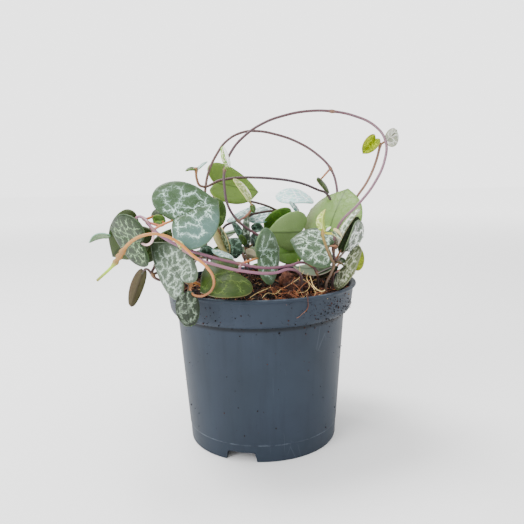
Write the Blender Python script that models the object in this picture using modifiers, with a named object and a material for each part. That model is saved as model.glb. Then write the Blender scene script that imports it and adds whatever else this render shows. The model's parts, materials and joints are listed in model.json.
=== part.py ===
# Potted string of hearts: a small nursery pot of soil with trailing stems and heart-shaped leaves.
# Positions in the tables are in millimetres from the middle of the pot's foot. The pot stands
# upright on z = 0, and the side that shows in the photo faces -Y.

import math
import random

import bmesh
import bpy
from mathutils import Matrix, Vector

MM = 0.001

# How far the whole object is moved at the end, in mm, so that its box is centred on the origin.
CENTRE_SHIFT = (3.1, -2.0, 0.0)

# The pot, in mm.
POT_HEIGHT = 51.0
LIP_RADIUS = 31.0
LIP_HEIGHT = 1.0
BAND_TOP_RADIUS = 30.1
BAND_LOW_RADIUS = 29.3
BAND_LOW_Z = 42.1
BODY_TOP_RADIUS = 27.1
FOOT_RADIUS = 24.0
FOOT_GROOVE_Z = 5.2
WALL = 0.95
FLOOR_Z = 4.6
FLOOR_THICK = 1.0
NOTCH_WIDTH = 9.6
NOTCH_HEIGHT = 3.0
NOTCH_FIRST_ANGLE = -106.7
DRAIN_HOLE_RADIUS = 2.4
DRAIN_RING_RADIUS = 12.5
POT_SEGMENTS = 44

# The soil.
SOIL_EDGE_Z = 49.3
SOIL_CENTRE_RISE = 1.9
SOIL_GAP = 0.3
HOLE_RADIUS = 0.92
HOLE_FLOOR_Z = 41.2

# The plant.
STEM_RADIUS = 0.42
PETIOLE_RADIUS = 0.36
BLADE_THICK = 0.9
STEM_FOOT_Z = 41.5
STEM_CLEAR_Z = 52.6

# Half of a heart's outline from the notch to the tip: across and along, in half widths.
HEART_HALF = (
    (0.16, -0.13),
    (0.50, -0.27),
    (0.83, -0.16),
    (1.00, 0.18),
    (0.93, 0.66),
    (0.60, 1.14),
)
# The same for a smooth oval leaf.
OVAL_HALF = (
    (0.26, -0.07),
    (0.66, 0.06),
    (0.93, 0.38),
    (1.00, 0.78),
    (0.84, 1.17),
    (0.48, 1.46),
)
HEART_LENGTH = 1.55
HEART_CENTRE = 0.42

COLOURS = {
    "pot": (0.070, 0.100, 0.125),
    "soil": (0.024, 0.014, 0.010),
    "coir": (0.195, 0.050, 0.020),
    "silver": (0.235, 0.325, 0.225),
    "green": (0.120, 0.245, 0.045),
    "pale": (0.380, 0.500, 0.240),
    "shoot": (0.620, 0.330, 0.150),
}


def clear_scene():
    for obj in list(bpy.data.objects):
        bpy.data.objects.remove(obj)
    for mesh in list(bpy.data.meshes):
        bpy.data.meshes.remove(mesh)


def add_collection(name, hidden=False):
    collection = bpy.data.collections.new(name)
    bpy.context.scene.collection.children.link(collection)
    collection.hide_render = hidden
    return collection


def add_material(name, colour, roughness):
    material = bpy.data.materials.new(name)
    material.use_nodes = True
    shader = material.node_tree.nodes["Principled BSDF"]
    shader.inputs["Base Color"].default_value = (*COLOURS[colour], 1.0)
    shader.inputs["Roughness"].default_value = roughness
    material.diffuse_color = (*COLOURS[colour], 1.0)
    return material


def mesh_object(name, verts, edges, faces, collection):
    mesh = bpy.data.meshes.new(name)
    mesh.from_pydata([Vector(v) * MM for v in verts], edges, faces)
    mesh.update()
    obj = bpy.data.objects.new(name, mesh)
    collection.objects.link(obj)
    return obj


def applied(obj):
    # Puts the result of the modifiers in place of the mesh.
    graph = bpy.context.evaluated_depsgraph_get()
    mesh = bpy.data.meshes.new_from_object(obj.evaluated_get(graph))
    obj.modifiers.clear()
    obj.data = mesh
    return obj


def lathe(name, profile, segments, collection):
    # The profile runs down the outer side, so the faces of the turned body point outwards.
    verts = [(r, 0.0, z) for r, z in profile]
    edges = [(i, i + 1) for i in range(len(verts) - 1)]
    obj = mesh_object(name, verts, edges, [], collection)
    screw = obj.modifiers.new("Turned", "SCREW")
    screw.steps = segments
    screw.render_steps = segments
    screw.use_merge_vertices = True
    screw.merge_threshold = 0.00001
    screw.use_smooth_shade = False
    return applied(obj)


def cylinder(name, radius, z_low, z_high, x, y, sides, collection):
    bm = bmesh.new()
    bmesh.ops.create_cone(
        bm, cap_ends=True, segments=sides, radius1=radius * MM, radius2=radius * MM,
        depth=(z_high - z_low) * MM,
    )
    bmesh.ops.translate(bm, verts=bm.verts, vec=Vector((x, y, (z_low + z_high) / 2)) * MM)
    mesh = bpy.data.meshes.new(name)
    bm.to_mesh(mesh)
    bm.free()
    obj = bpy.data.objects.new(name, mesh)
    collection.objects.link(obj)
    return obj


def combine(obj, others, operation, solver="EXACT"):
    # One Boolean over a whole collection, applied, after which the collection's objects go.
    boolean = obj.modifiers.new("Joined", "BOOLEAN")
    boolean.operand_type = "COLLECTION"
    boolean.collection = others
    boolean.operation = operation
    boolean.solver = solver
    applied(obj)
    for other in list(others.objects):
        bpy.data.objects.remove(other)
    bpy.data.collections.remove(others)
    return obj


def outer_profile():
    return [
        (LIP_RADIUS - 0.75, POT_HEIGHT),
        (LIP_RADIUS - 0.15, POT_HEIGHT - 0.1),
        (LIP_RADIUS, POT_HEIGHT - 0.35),
        (LIP_RADIUS - 0.1, POT_HEIGHT - LIP_HEIGHT + 0.1),
        (BAND_TOP_RADIUS, POT_HEIGHT - LIP_HEIGHT - 0.15),
        (BAND_LOW_RADIUS, BAND_LOW_Z + 2.4),
        (BAND_LOW_RADIUS - 0.25, BAND_LOW_Z + 1.2),
        (BAND_LOW_RADIUS - 0.95, BAND_LOW_Z + 0.3),
        (BODY_TOP_RADIUS, BAND_LOW_Z - 0.1),
        (FOOT_RADIUS + 0.42, FOOT_GROOVE_Z + 0.15),
        (FOOT_RADIUS + 0.22, FOOT_GROOVE_Z - 0.1),
        (FOOT_RADIUS, 0.35),
        (FOOT_RADIUS - 0.3, 0.0),
    ]


def inner_profile():
    # From the top of the soil's space down to the middle of the raised floor.
    return [
        (BAND_TOP_RADIUS - WALL, POT_HEIGHT - 0.6),
        (BAND_LOW_RADIUS - WALL, BAND_LOW_Z + 1.6),
        (BODY_TOP_RADIUS - WALL, BAND_LOW_Z - 1.0),
        (FOOT_RADIUS - WALL + 0.4, FLOOR_Z),
    ]


def build_pot(collection):
    inside = inner_profile()
    foot = [
        (FOOT_RADIUS - WALL - 0.1, 0.0),
        (FOOT_RADIUS - WALL + 0.1, FLOOR_Z - FLOOR_THICK),
        (0.0, FLOOR_Z - FLOOR_THICK),
    ]
    profile = [(0.0, FLOOR_Z)] + inside[::-1] + outer_profile() + foot
    pot = lathe("pot", profile, POT_SEGMENTS, collection)
    cutters = add_collection("pot_cutters", hidden=True)
    for i in range(3):
        # Slots through the foot ring, a little narrower at the top.
        angle = math.radians(NOTCH_FIRST_ANGLE + 120 * i)
        half, top = NOTCH_WIDTH / 2, NOTCH_HEIGHT
        near, far = FOOT_RADIUS - 4.0, FOOT_RADIUS + 3.0
        section = [(-half - 0.3, -1.0), (half + 0.3, -1.0), (half - 0.5, top), (-half + 0.5, top)]
        verts = []
        for depth in (near, far):
            for side, z in section:
                verts.append((
                    depth * math.cos(angle) - side * math.sin(angle),
                    depth * math.sin(angle) + side * math.cos(angle),
                    z,
                ))
        faces = [(3, 2, 1, 0), (4, 5, 6, 7)]
        faces += [(i, (i + 1) % 4, (i + 1) % 4 + 4, i + 4) for i in range(4)]
        slot = mesh_object("foot_slot", verts, [], faces, cutters)
        slot.display_type = "WIRE"
    for i in range(6):
        angle = math.radians(60 * i + 15)
        hole = cylinder(
            "drain_hole", DRAIN_HOLE_RADIUS, 2.0, 7.0, DRAIN_RING_RADIUS * math.cos(angle),
            DRAIN_RING_RADIUS * math.sin(angle), 12, cutters,
        )
        hole.display_type = "WIRE"
    combine(pot, cutters, "DIFFERENCE")
    pot.data.materials.clear()
    pot.data.materials.append(add_material("pot_plastic", "pot", 0.45))
    return pot


def soil_height(x, y):
    # The top of the soil: low at the wall, a little mounded, with crumbly unevenness.
    radius = math.hypot(x, y)
    rise = SOIL_CENTRE_RISE * (1.0 - (radius / 28.5) ** 2)
    lumps = 0.35 * math.sin(0.55 * x + 1.1) * math.cos(0.47 * y - 0.6)
    lumps += 0.22 * math.sin(1.05 * x - 0.8 * y + 2.0)
    return SOIL_EDGE_Z + rise + lumps * min(1.0, (30.0 - radius) / 6.0)


def build_soil(roots, collection):
    wall = [(r - SOIL_GAP, z) for r, z in inner_profile()]
    top_radius = wall[0][0] - 0.05
    top = [(top_radius * part, SOIL_EDGE_Z) for part in (0.0, 0.22, 0.42, 0.6, 0.76, 0.9)]
    side = [(top_radius, SOIL_EDGE_Z), wall[1], wall[2]]
    side += [(wall[3][0], FLOOR_Z + SOIL_GAP), (0.0, FLOOR_Z + SOIL_GAP)]
    soil = lathe("soil", top + side, 32, collection)
    for vert in soil.data.vertices:
        x, y, z = vert.co / MM
        if z > SOIL_EDGE_Z - 1.0:
            vert.co.z = soil_height(x, y) * MM
    bm = bmesh.new()
    bm.from_mesh(soil.data)
    bmesh.ops.triangulate(bm, faces=bm.faces)
    bm.to_mesh(soil.data)
    bm.free()
    cutters = add_collection("soil_cutters", hidden=True)
    for x, y in roots:
        hole = cylinder("stem_hole", HOLE_RADIUS, HOLE_FLOOR_Z, 60.0, x, y, 8, cutters)
        hole.display_type = "WIRE"
    combine(soil, cutters, "DIFFERENCE")
    soil.data.materials.clear()
    soil.data.materials.append(add_material("potting_soil", "soil", 0.95))
    return soil


def build_coir_lump(collection):
    # A loose reddish clump of coir on the soil at the front, flat below and jagged above.
    rng = random.Random(11)
    bm = bmesh.new()
    bmesh.ops.create_icosphere(bm, subdivisions=2, radius=1.0)
    for vert in bm.verts:
        push = 1.0 + rng.uniform(-0.2, 0.22)
        vert.co = Vector((vert.co.x * 4.1 * push, vert.co.y * 2.2 * push, vert.co.z * 2.2 * push))
    mesh = bpy.data.meshes.new("coir_lump")
    bm.to_mesh(mesh)
    bm.free()
    for vert in mesh.vertices:
        x = vert.co.x + 11.6
        y = vert.co.y - 17.0
        z = max(vert.co.z + 52.2, soil_height(x, y) + 0.35)
        vert.co = Vector((x, y, z)) * MM
    obj = bpy.data.objects.new("coir_lump", mesh)
    collection.objects.link(obj)
    obj.data.materials.append(add_material("coir_clump", "coir", 0.95))
    return obj


def tube(name, points, radii, sides, steps, collection):
    # A round stem along smooth Bezier points, with closed ends.
    curve = bpy.data.curves.new(name, "CURVE")
    curve.dimensions = "3D"
    curve.resolution_u = steps
    curve.bevel_depth = MM
    curve.bevel_resolution = (sides - 4) // 2
    curve.use_fill_caps = True
    spline = curve.splines.new("BEZIER")
    spline.bezier_points.add(len(points) - 1)
    for point, place, radius in zip(spline.bezier_points, points, radii):
        point.co = Vector(place) * MM
        point.radius = radius
        point.handle_left_type = "AUTO"
        point.handle_right_type = "AUTO"
    source = bpy.data.objects.new(name, curve)
    collection.objects.link(source)
    graph = bpy.context.evaluated_depsgraph_get()
    mesh = bpy.data.meshes.new_from_object(source.evaluated_get(graph))
    bpy.data.objects.remove(source)
    bm = bmesh.new()
    bm.from_mesh(mesh)
    bmesh.ops.remove_doubles(bm, verts=bm.verts, dist=0.000002)
    bmesh.ops.recalc_face_normals(bm, faces=bm.faces)
    bm.to_mesh(mesh)
    bm.free()
    obj = bpy.data.objects.new(name, mesh)
    collection.objects.link(obj)
    return obj


def leaf_point(across, along, leaf):
    # Places a point of the flat heart on the folded and bowed blade in space.
    sinus, tip = Vector(leaf["from"]), Vector(leaf["tip"])
    axis = (tip - sinus).normalized()
    face = Vector(leaf["face"])
    face = (face - axis * face.dot(axis)).normalized()
    side = axis.cross(face)
    half = leaf["width"] / 2
    unit = (tip - sinus).length / HEART_LENGTH
    fold = math.radians(leaf.get("fold", 8))
    part = along / HEART_LENGTH
    bow = leaf.get("bow", 0.12) * (tip - sinus).length
    out = abs(across) * half
    lift = out * math.sin(fold) + leaf.get("cup", 0.0) * half * across * across
    arch = 4 * part * (1 - part) if part > 0 else 4 * part + 9 * part * part
    lift += bow * arch + leaf.get("twist", 0.0) * half * across * part
    flat = out * math.cos(fold) * (1 if across > 0 else -1)
    return sinus + side * flat + axis * (along * unit) + face * lift


def blade(name, leaf, collection):
    # A closed blade: fan and ring of triangles on a bent sheet, then thickened.
    right = list(OVAL_HALF if leaf.get("shape") == "oval" else HEART_HALF)
    ring = [(0.0, 0.0)] + right + [(0.0, HEART_LENGTH)] + [(-x, y) for x, y in right[::-1]]
    count = len(ring)
    middle = [(x * 0.52, HEART_CENTRE + (y - HEART_CENTRE) * 0.52) for x, y in ring]
    small = leaf["width"] < 13.2
    flat = ring + [(0.0, HEART_CENTRE)] if small else ring + middle + [(0.0, HEART_CENTRE)]
    verts = [leaf_point(x, y, leaf) for x, y in flat]
    last = len(verts) - 1
    faces = []
    for i in range(count):
        j = (i + 1) % count
        if small:
            faces.append((i, j, last))
            continue
        if i < count // 2:
            faces += [(i, j, count + j), (i, count + j, count + i)]
        else:
            faces += [(i, j, count + i), (j, count + j, count + i)]
        faces.append((count + i, count + j, last))
    obj = mesh_object(name, verts, [], faces, collection)
    solid = obj.modifiers.new("Thickness", "SOLIDIFY")
    solid.thickness = leaf.get("thick", BLADE_THICK) * MM
    solid.offset = 0.0
    applied(obj)
    bm = bmesh.new()
    bm.from_mesh(obj.data)
    bmesh.ops.recalc_face_normals(bm, faces=bm.faces)
    bmesh.ops.triangulate(bm, faces=bm.faces)
    bm.to_mesh(obj.data)
    bm.free()
    return obj


def petiole(leaf, collection):
    # The leaf's stalk, from inside the stem to inside the blade at its notch.
    sinus, tip = Vector(leaf["from"]), Vector(leaf["tip"])
    into = sinus + (tip - sinus).normalized() * 1.0
    start = Vector(leaf["node"])
    via = [Vector(p) for p in leaf.get("via", [])]
    points = [start] + via + [into]
    radii = [PETIOLE_RADIUS] * (len(points) - 1) + [PETIOLE_RADIUS * 0.9]
    return tube("petiole", points, radii, 4, 2 if via else 1, collection)


def build_vine(name, vine, collection):
    pieces = add_collection("pieces")
    x, y = vine["root"]
    points = [(x, y, STEM_FOOT_Z), (x, y, STEM_CLEAR_Z - 3.0), (x, y, STEM_CLEAR_Z)] + vine["path"]
    radii = vine.get("radii") or [STEM_RADIUS] * len(points)
    stem = tube(name, points, radii, 6, vine.get("steps", 1), collection)
    for branch in vine.get("branches", []):
        tube("branch", branch, [STEM_RADIUS * 0.9] * len(branch), 6, 1, pieces)
    for leaf in vine["leaves"]:
        blade("leaf", leaf, pieces)
        if "node" in leaf:
            petiole(leaf, pieces)
    combine(stem, pieces, "UNION", vine.get("solver", "MANIFOLD"))
    bm = bmesh.new()
    bm.from_mesh(stem.data)
    bmesh.ops.triangulate(bm, faces=bm.faces)
    bmesh.ops.remove_doubles(bm, verts=bm.verts, dist=0.000001)
    bmesh.ops.dissolve_degenerate(bm, edges=bm.edges, dist=0.000002)
    bmesh.ops.triangulate(bm, faces=bm.faces)
    bm.to_mesh(stem.data)
    bm.free()
    stem.data.materials.clear()
    stem.data.materials.append(add_material(name + "_leaf", vine.get("colour", "silver"), 0.5))
    return stem


def hanging_pair(node, along, out, size, drop=0.8, spread=0.45):
    # Two opposite leaves at a node, hanging with their faces outwards.
    node, out = Vector(node), Vector(out).normalized()
    side = Vector(along).cross(out).normalized()
    leaves = []
    for hand in (-1, 1):
        start = node + side * (hand * 2.3) + out * 0.5 + Vector((0, 0, 0.3))
        reach = side * (hand * spread) + out * (0.12 + 0.06 * hand) + Vector((0, 0, -drop))
        leaves.append({
            "node": tuple(node),
            "from": tuple(start),
            "tip": tuple(start + reach.normalized() * size * 0.78),
            "face": tuple(out + side * (0.35 * hand) + Vector((0, 0, 0.35))),
            "width": size,
        })
    return leaves


VINES = {
    # The long outer loop: up at the right, over the top and down to the middle.
    "vine_outer_loop": {
        "steps": 2,
        "root": (22.6, -8.6),
        "path": [
            (22.9, -9.6, 58), (22.6, -11.6, 64.5), (24.2, -13.6, 70.3), (29.5, -14.2, 75.9),
            (34.7, -12.2, 82), (38.4, -9.2, 89), (39.2, -6.4, 94.5), (36.6, -2, 99.7),
            (30.8, 0.6, 103), (23.9, 2, 104.7), (16, 2, 104.9), (8.6, 1, 103.6),
            (2, 0, 101.3), (-4, -1.2, 97.4), (-8.2, -2.8, 92.6), (-10.4, -4, 87),
            (-10.5, -5.2, 81), (-9.3, -6, 75.3), (-6, -6.2, 70.6), (-1.5, -5.4, 67.2),
            (1.2, -4.6, 65.5),
        ],
        "leaves": [
            {"node": (-10.4, -4, 86.9), "from": (-9.1, -5.2, 88), "tip": (-10.6, -8.2, 94),
             "face": (-0.14, -0.99, 0.08), "width": 2.5, "fold": 17, "bow": 0.11,
             "shape": "oval"},
            {"node": (-6.4, -6.2, 71.1), "via": [(-3.6, -5.6, 73), (-2.2, -5, 75.4)],
             "from": (-3, -4.6, 77.2), "tip": (-7.8, -2.9, 84.2), "face": (0.73, -0.41, 0.54),
             "width": 5, "fold": 13, "bow": 0.04, "shape": "oval"},
            {"node": (-2.2, -5, 75.4), "from": (-2.5, -5, 76), "tip": (-1.4, -4.5, 73.6),
             "face": (0.78, -0.45, 0.43), "width": 3.5, "fold": 1, "bow": 0.08, "shape": "oval"},
            {"node": (22.7, -11, 63), "via": [(23.1, -13, 63.4)], "from": (20.5, -14.4, 63.4),
             "tip": (9.1, -12.9, 65.5), "face": (0.46, -0.69, 0.56), "width": 15.4, "fold": -10,
             "bow": 0.05},
            {"node": (22.6, -10.8, 62), "from": (23.5, -10.3, 62.6), "tip": (31.3, -9.2, 74.5),
             "face": (-0.75, -0.5, 0.43), "width": 3, "fold": 18, "bow": 0.08, "shape": "oval"},
            {"node": (22.9, -9.4, 57.4), "from": (26.8, -10.2, 61.7), "tip": (30.1, -11.2, 71.2),
             "face": (0.82, -0.54, 0.2), "width": 9.4, "fold": 9, "bow": 0.06, "shape": "oval"},
            {"node": (22.9, -9.4, 57.4), "via": [(24.2, -10.8, 58.2)],
             "from": (25.8, -11.8, 57.1), "tip": (27.3, -20, 56.1), "face": (-0.84, -0.29, 0.46),
             "width": 15.2, "fold": -2, "bow": -0.03},
            {"node": (22.7, -8.7, 54.4), "from": (29.4, -5, 55.9), "tip": (33, 4.1, 61.7),
             "face": (0.25, -0.91, 0.34), "width": 6.8, "fold": 34, "bow": -0.03},
            {"node": (22.9, -9.5, 57.8), "from": (25.1, -8.9, 61.4), "tip": (30.6, -8.4, 71.9),
             "face": (-0.21, -0.89, 0.4), "width": 3.8, "fold": 6, "bow": 0.05, "shape": "oval"},
            {"node": (22.8, -8.9, 55), "from": (24.8, -5, 57), "tip": (27, -4.5, 58.3),
             "face": (-0.2, -0.48, 0.85), "width": 3.3, "fold": -1, "bow": 0.09, "shape": "oval"},
        ],
    },
    # The young shoot at the right that ends beside the loop.
    "vine_right_shoot": {
        "root": (20.5, 5.5),
        "path": [
            (22, 6, 58), (26.5, 5.8, 68.5), (32, 4.6, 77), (35.6, 3.2, 82.6),
            (37.9, 2.2, 88.3), (39.3, 0.9, 94.6),
        ],
        "leaves": [
            {"node": (39.2, 1, 94), "from": (37.2, -0.8, 95.7), "tip": (33.6, 1.7, 91.2),
             "face": (0.21, -0.89, 0.4), "width": 6.2, "fold": 44, "bow": 0.07},
            {"node": (39.2, 1, 94), "from": (40.8, 0.2, 94.9), "tip": (45.1, 3.8, 98.7),
             "face": (0.49, -0.86, 0.13), "width": 6.8, "fold": 40, "bow": -0.05},
            {"node": (26.4, 5.8, 68.3), "from": (28.4, 8.4, 67.6), "tip": (31.5, 17, 62.6),
             "face": (0.75, 0.3, 0.6), "width": 14},
            {"node": (26.4, 5.8, 68.3), "from": (23.8, 9.6, 68), "tip": (17.5, 15.5, 64.6),
             "face": (-0.1, 0.5, 0.85), "width": 13},
        ],
    },
    # The inner loop: up at the left, over, and down behind the big leaf.
    "vine_inner_loop": {
        "steps": 2,
        "root": (-17, 0.5),
        "path": [
            (-17.3, 0.2, 62), (-17.3, 0, 76), (-16.7, 0.4, 83), (-15.6, 1.6, 87.2),
            (-13.3, 3.6, 92), (-10, 5.6, 96.4), (-5, 7.2, 99.1), (0, 8, 99.5),
            (5.9, 8.2, 98.4), (13.3, 8.4, 95.7), (20, 8.6, 91.4), (24.2, 8.8, 86.9),
            (26.4, 10, 81), (26.8, 12, 75.5),
        ],
        "leaves": [
            {"node": (24.2, 8.8, 86.9), "from": (19.9, 8.4, 83.7), "tip": (23.7, 8.6, 78.6),
             "face": (0.84, -0.34, 0.42), "width": 5.2, "fold": -8, "bow": 0.06, "shape": "oval"},
            {"node": (26.8, 12, 75.8), "from": (28, 14.4, 74.8), "tip": (30, 22.5, 68),
             "face": (0.6, 0.45, 0.65), "width": 13},
            {"node": (26.8, 12, 75.7), "from": (25.2, 14.6, 72.8), "tip": (20, 21.6, 67),
             "face": (-0.1, 0.4, 0.9), "width": 12},
            {"node": (-17.3, 0, 71), "from": (-19.4, 1.4, 71.2), "tip": (-25, 6, 64),
             "face": (-0.5, 0.5, 0.7), "width": 12},
        ],
    },
    # The low arch across the front of the loops, with two tiny leaves at its left end.
    "vine_cross_arch": {
        "steps": 2,
        "root": (20.2, 0.5),
        "path": [
            (21.4, 0.4, 58), (23.2, 0.6, 65.5), (24.4, 4.4, 73), (22.4, 5, 78.7), (19.5, 4.6, 80),
            (15.1, 3.6, 81.9), (10.6, 2.6, 83.1), (5.4, 1.4, 83.9), (-0.6, 0.8, 84.4),
            (-5.7, 0.2, 84.5), (-12, -0.6, 83.8), (-18.2, -2, 82.1), (-19.3, -2.3, 84.2),
            (-19.4, -2.3, 88),
        ],
        "leaves": [
            {"node": (23.2, 0.6, 65.3), "via": [(23.2, -0.6, 66)], "from": (22.8, -1.3, 66.7),
             "tip": (29.8, 6.4, 80.2), "face": (0.53, 0.7, -0.47), "width": 20.6, "fold": -4,
             "bow": -0.05},
            {"node": (22.8, 0.5, 63.6), "via": [(18, -0.4, 64.6)], "from": (13.7, 0.2, 66.9),
             "tip": (2.4, -4.9, 67.4), "face": (0.13, 0.99, 0.09), "width": 13.1, "fold": 22,
             "bow": -0.06},
            {"node": (-19.4, -2.3, 87.6), "from": (-20.1, -2.5, 87.4), "tip": (-22.8, -3, 86.8),
             "face": (-0.1, -0.5, 0.9), "width": 2.2, "thick": 0.7},
            {"node": (-19.4, -2.3, 87.2), "from": (-18.9, -2.5, 87.5), "tip": (-15.9, -1.4, 89.7),
             "face": (-0.54, -0.22, 0.81), "width": 3.7, "fold": -2, "bow": 0.06, "shape": "oval",
             "thick": 0.7},
            {"node": (21.5, 0.4, 58.6), "via": [(17.4, 2, 58.8)], "from": (13.8, 3, 59.3),
             "tip": (5, 2.1, 59), "face": (-0.02, -0.91, 0.41), "width": 7.4, "fold": 2,
             "bow": 0.11, "shape": "oval"},
        ],
    },
    # The stem through the middle, at the height of the foliage.
    "vine_centre_back": {
        "root": (-12.5, 5.5),
        "path": [
            (-12.4, 5.4, 60), (-11.8, 5.2, 68.2), (-8.5, 6, 69.9), (-3.5, 7.4, 71.9),
            (1.8, 8.8, 72.9), (6, 9.8, 73.2),
        ],
        "branches": [[
            (6, 9.8, 73.2), (3.8, 7.8, 74.5), (-2.2, 5.9, 76.5), (-8.2, 4.9, 77.4),
            (-13.6, 4.7, 77.4), (-15, 5, 79),
        ]],
        "leaves": [
            {"node": (-14.2, 4.8, 77.8), "from": (-14, 3.6, 82.7), "tip": (0.1, 10.5, 79.5),
             "face": (-0.01, 0.79, -0.62), "width": 16.5, "fold": -10, "bow": 0.02},
            {"node": (6, 9.8, 73.2), "from": (10.8, 9, 71.6), "tip": (1.5, 13.6, 66.1),
             "face": (0.56, -0.75, 0.35), "width": 14.7, "fold": 55, "bow": 0.01},
            {"node": (6, 9.8, 73.2), "from": (4.8, 12, 71.9), "tip": (-3.9, 14.1, 70.8),
             "face": (-0.09, -0.46, 0.89), "width": 11, "fold": 6, "bow": -0.04, "shape": "oval"},
            {"node": (6, 9.8, 73.2), "via": [(13, 9.8, 72.6), (12, 15.6, 75.6)],
             "from": (18.2, 17, 76.8), "tip": (6, 14, 76.9), "face": (-0.15, -0.39, 0.91),
             "width": 13.3, "fold": -5, "shape": "oval"},
            {"node": (-3.5, 7.4, 71.9), "from": (-2.4, 10, 73.8), "tip": (-11.1, 9.6, 69.8),
             "face": (-0.12, -0.12, 0.99), "width": 11.6, "fold": -2, "bow": 0.01,
             "shape": "oval"},
            {"node": (12.6, 9.8, 72.7), "from": (12.8, 8, 72.9), "tip": (10.5, 9.3, 76.2),
             "face": (0.86, -0.32, 0.41), "width": 5.3, "fold": -4, "bow": 0.07, "shape": "oval"},
        ],
    },
    # The runner across the front at the top of the rim, with the biggest leaf.
    "vine_front_runner": {
        "root": (17.4, -14.2),
        "path": [
            (17, -15, 56), (14.8, -15.4, 58.4), (12.4, -16.6, 59.2), (8.7, -20.6, 59),
            (1.2, -24, 59), (-5.6, -26, 60.6), (-14.6, -28, 63.4), (-22.3, -29, 66.5),
            (-29, -28.2, 70.9), (-31.4, -26, 73.4), (-33.9, -22.6, 74.2), (-35.6, -19.6, 72.8),
            (-35.4, -17.8, 70),
        ],
        "leaves": [
            {"node": (-5.6, -26, 60.6), "via": [(-3.4, -23.6, 60.9)], "from": (-0.5, -20.2, 61.2),
             "tip": (6, -11.5, 63), "face": (0.82, -0.56, 0.04), "width": 17.7, "fold": 16,
             "bow": -0.04},
            {"node": (-5.6, -26, 60.6), "via": [(-5.6, -27.6, 59.6)], "from": (-6.4, -28.2, 58.2),
             "tip": (-16.6, -30.8, 53.6), "face": (-0.2, -0.62, 0.76), "width": 17.2, "fold": -4,
             "bow": 0.15},
            {"node": (15.1, -15.3, 58.1), "from": (20.2, -12.6, 57.6), "tip": (10, -13.4, 57.4),
             "face": (0, 0.45, -0.9), "width": 6.8, "fold": 4},
            {"node": (-29, -28.2, 70.9), "via": [(-26.9, -27.8, 72)], "from": (-24, -25.5, 73.1),
             "tip": (-11.5, -19.1, 78), "face": (0.1, -0.84, 0.54), "width": 22.8, "fold": 6,
             "bow": 0.04},
            {"node": (-29, -28.2, 70.9), "via": [(-29.3, -28.8, 68), (-30.8, -28.2, 66.8)],
             "from": (-32.6, -27, 67.2), "tip": (-43.1, -19, 70.5), "face": (-0.74, -0.6, -0.3),
             "width": 16.5, "fold": 4, "bow": 0},
            {"node": (-30.6, -26.8, 72.8), "via": [(-26.6, -26.2, 72)],
             "from": (-26.2, -24.8, 73.5), "tip": (-29.8, -23.9, 73.1),
             "face": (0.19, -0.98, -0.08), "width": 3.7, "fold": 26, "bow": 0.11,
             "shape": "oval"},
            {"node": (-31.8, -25.4, 73.5), "from": (-30.2, -22.5, 73.8),
             "tip": (-27.1, -22.3, 75.8), "face": (-0.26, -0.62, 0.74), "width": 4.7, "fold": -8,
             "bow": 0.06, "shape": "oval"},
            {"node": (-35.5, -18.2, 70.6), "from": (-35.1, -17.2, 71.1),
             "tip": (-45.2, -10.7, 61.3), "face": (0.2, 0.98, 0.06), "width": 14, "fold": -10,
             "bow": 0},
            {"node": (-35.5, -18.2, 70.6), "via": [(-39, -14, 69)], "from": (-45.4, -12.6, 67.6),
             "tip": (-51.4, -13.2, 66), "face": (-0.2, 0.28, 0.94), "width": 6.6},
            {"node": (17.1, -14.9, 55.6), "from": (23.5, -12, 56.4), "tip": (15.9, -13.8, 54.2),
             "face": (-0.01, 0.53, 0.85), "width": 6.5, "fold": 1, "bow": -0.01, "shape": "oval"},
        ],
    },
    # The second runner, just below and in front of the first.
    "vine_front_lower": {
        "root": (12, -20.6),
        "path": [
            (11.6, -21.6, 56.4), (8.6, -23.8, 58.4), (3.9, -27.2, 58), (-4.1, -31.4, 59.3),
            (-11.4, -32, 61.2), (-16.8, -32, 63.2), (-20.6, -31.8, 65.8),
        ],
        "leaves": [
            {"node": (-20.4, -31.8, 65.6), "from": (-20.9, -31.8, 66.4), "tip": (-22.6, -32, 68.4),
             "face": (0.6, -0.7, 0.3), "width": 1.8, "thick": 0.7},
        ],
    },
    # The thick orange shoot over the left of the rim, with its green growing tip.
    "vine_orange_shoot": {
        "root": (-17.2, -19.4),
        "colour": "shoot",
        "path": [
            (-18.4, -22.6, 54.8), (-19.6, -26.4, 55), (-19.2, -29.4, 53.6), (-17.2, -32.4, 53),
            (-14.6, -34, 53.7), (-12.8, -34.4, 55.4), (-12.4, -34.5, 57.9), (-13.8, -34.5, 60.8),
            (-17.6, -34.5, 64.3), (-21.8, -34.5, 68.2), (-26, -34.5, 70.1), (-30.5, -34.4, 70),
            (-34.3, -34.3, 68), (-37.2, -34.2, 64.5), (-38.7, -34, 62.5), (-43.6, -33.8, 58.1),
        ],
        "radii": [0.42, 0.42, 0.42, 0.45, 0.5, 0.55, 0.55, 0.52, 0.5, 0.5, 0.48, 0.46, 0.45,
                  0.45, 0.45, 0.5, 0.55, 0.62, 0.3],
        "leaves": [
            {"node": (-19.6, -26.4, 55), "from": (-21.1, -29.4, 56.4),
             "tip": (-31.1, -22.6, 66.9), "face": (-0.44, -0.89, 0.1), "width": 12.9, "fold": 0,
             "bow": -0.07},
            {"node": (-19.6, -26.4, 55), "from": (-20.6, -29.8, 53.5),
             "tip": (-19.1, -33.8, 44.9), "face": (-0.07, -0.99, 0.1), "width": 6.8, "fold": -8,
             "shape": "oval"},
        ],
    },
    # The short dark stem at the lower left.
    "vine_left_low": {
        "root": (-22.4, -10),
        "colour": "green",
        "path": [(-24.4, -13, 54.8), (-27.8, -16.8, 54.6), (-31.6, -18.6, 56.7),
                 (-30.9, -16.6, 59.6)],
        "branches": [
            [(-31.4, -18.4, 56.6), (-31.1, -17.6, 57), (-28.8, -16.4, 57)],
        ],
        "leaves": [
            {"node": (-31.6, -18.6, 56.6), "via": [(-33.4, -18.4, 58.5)],
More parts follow.
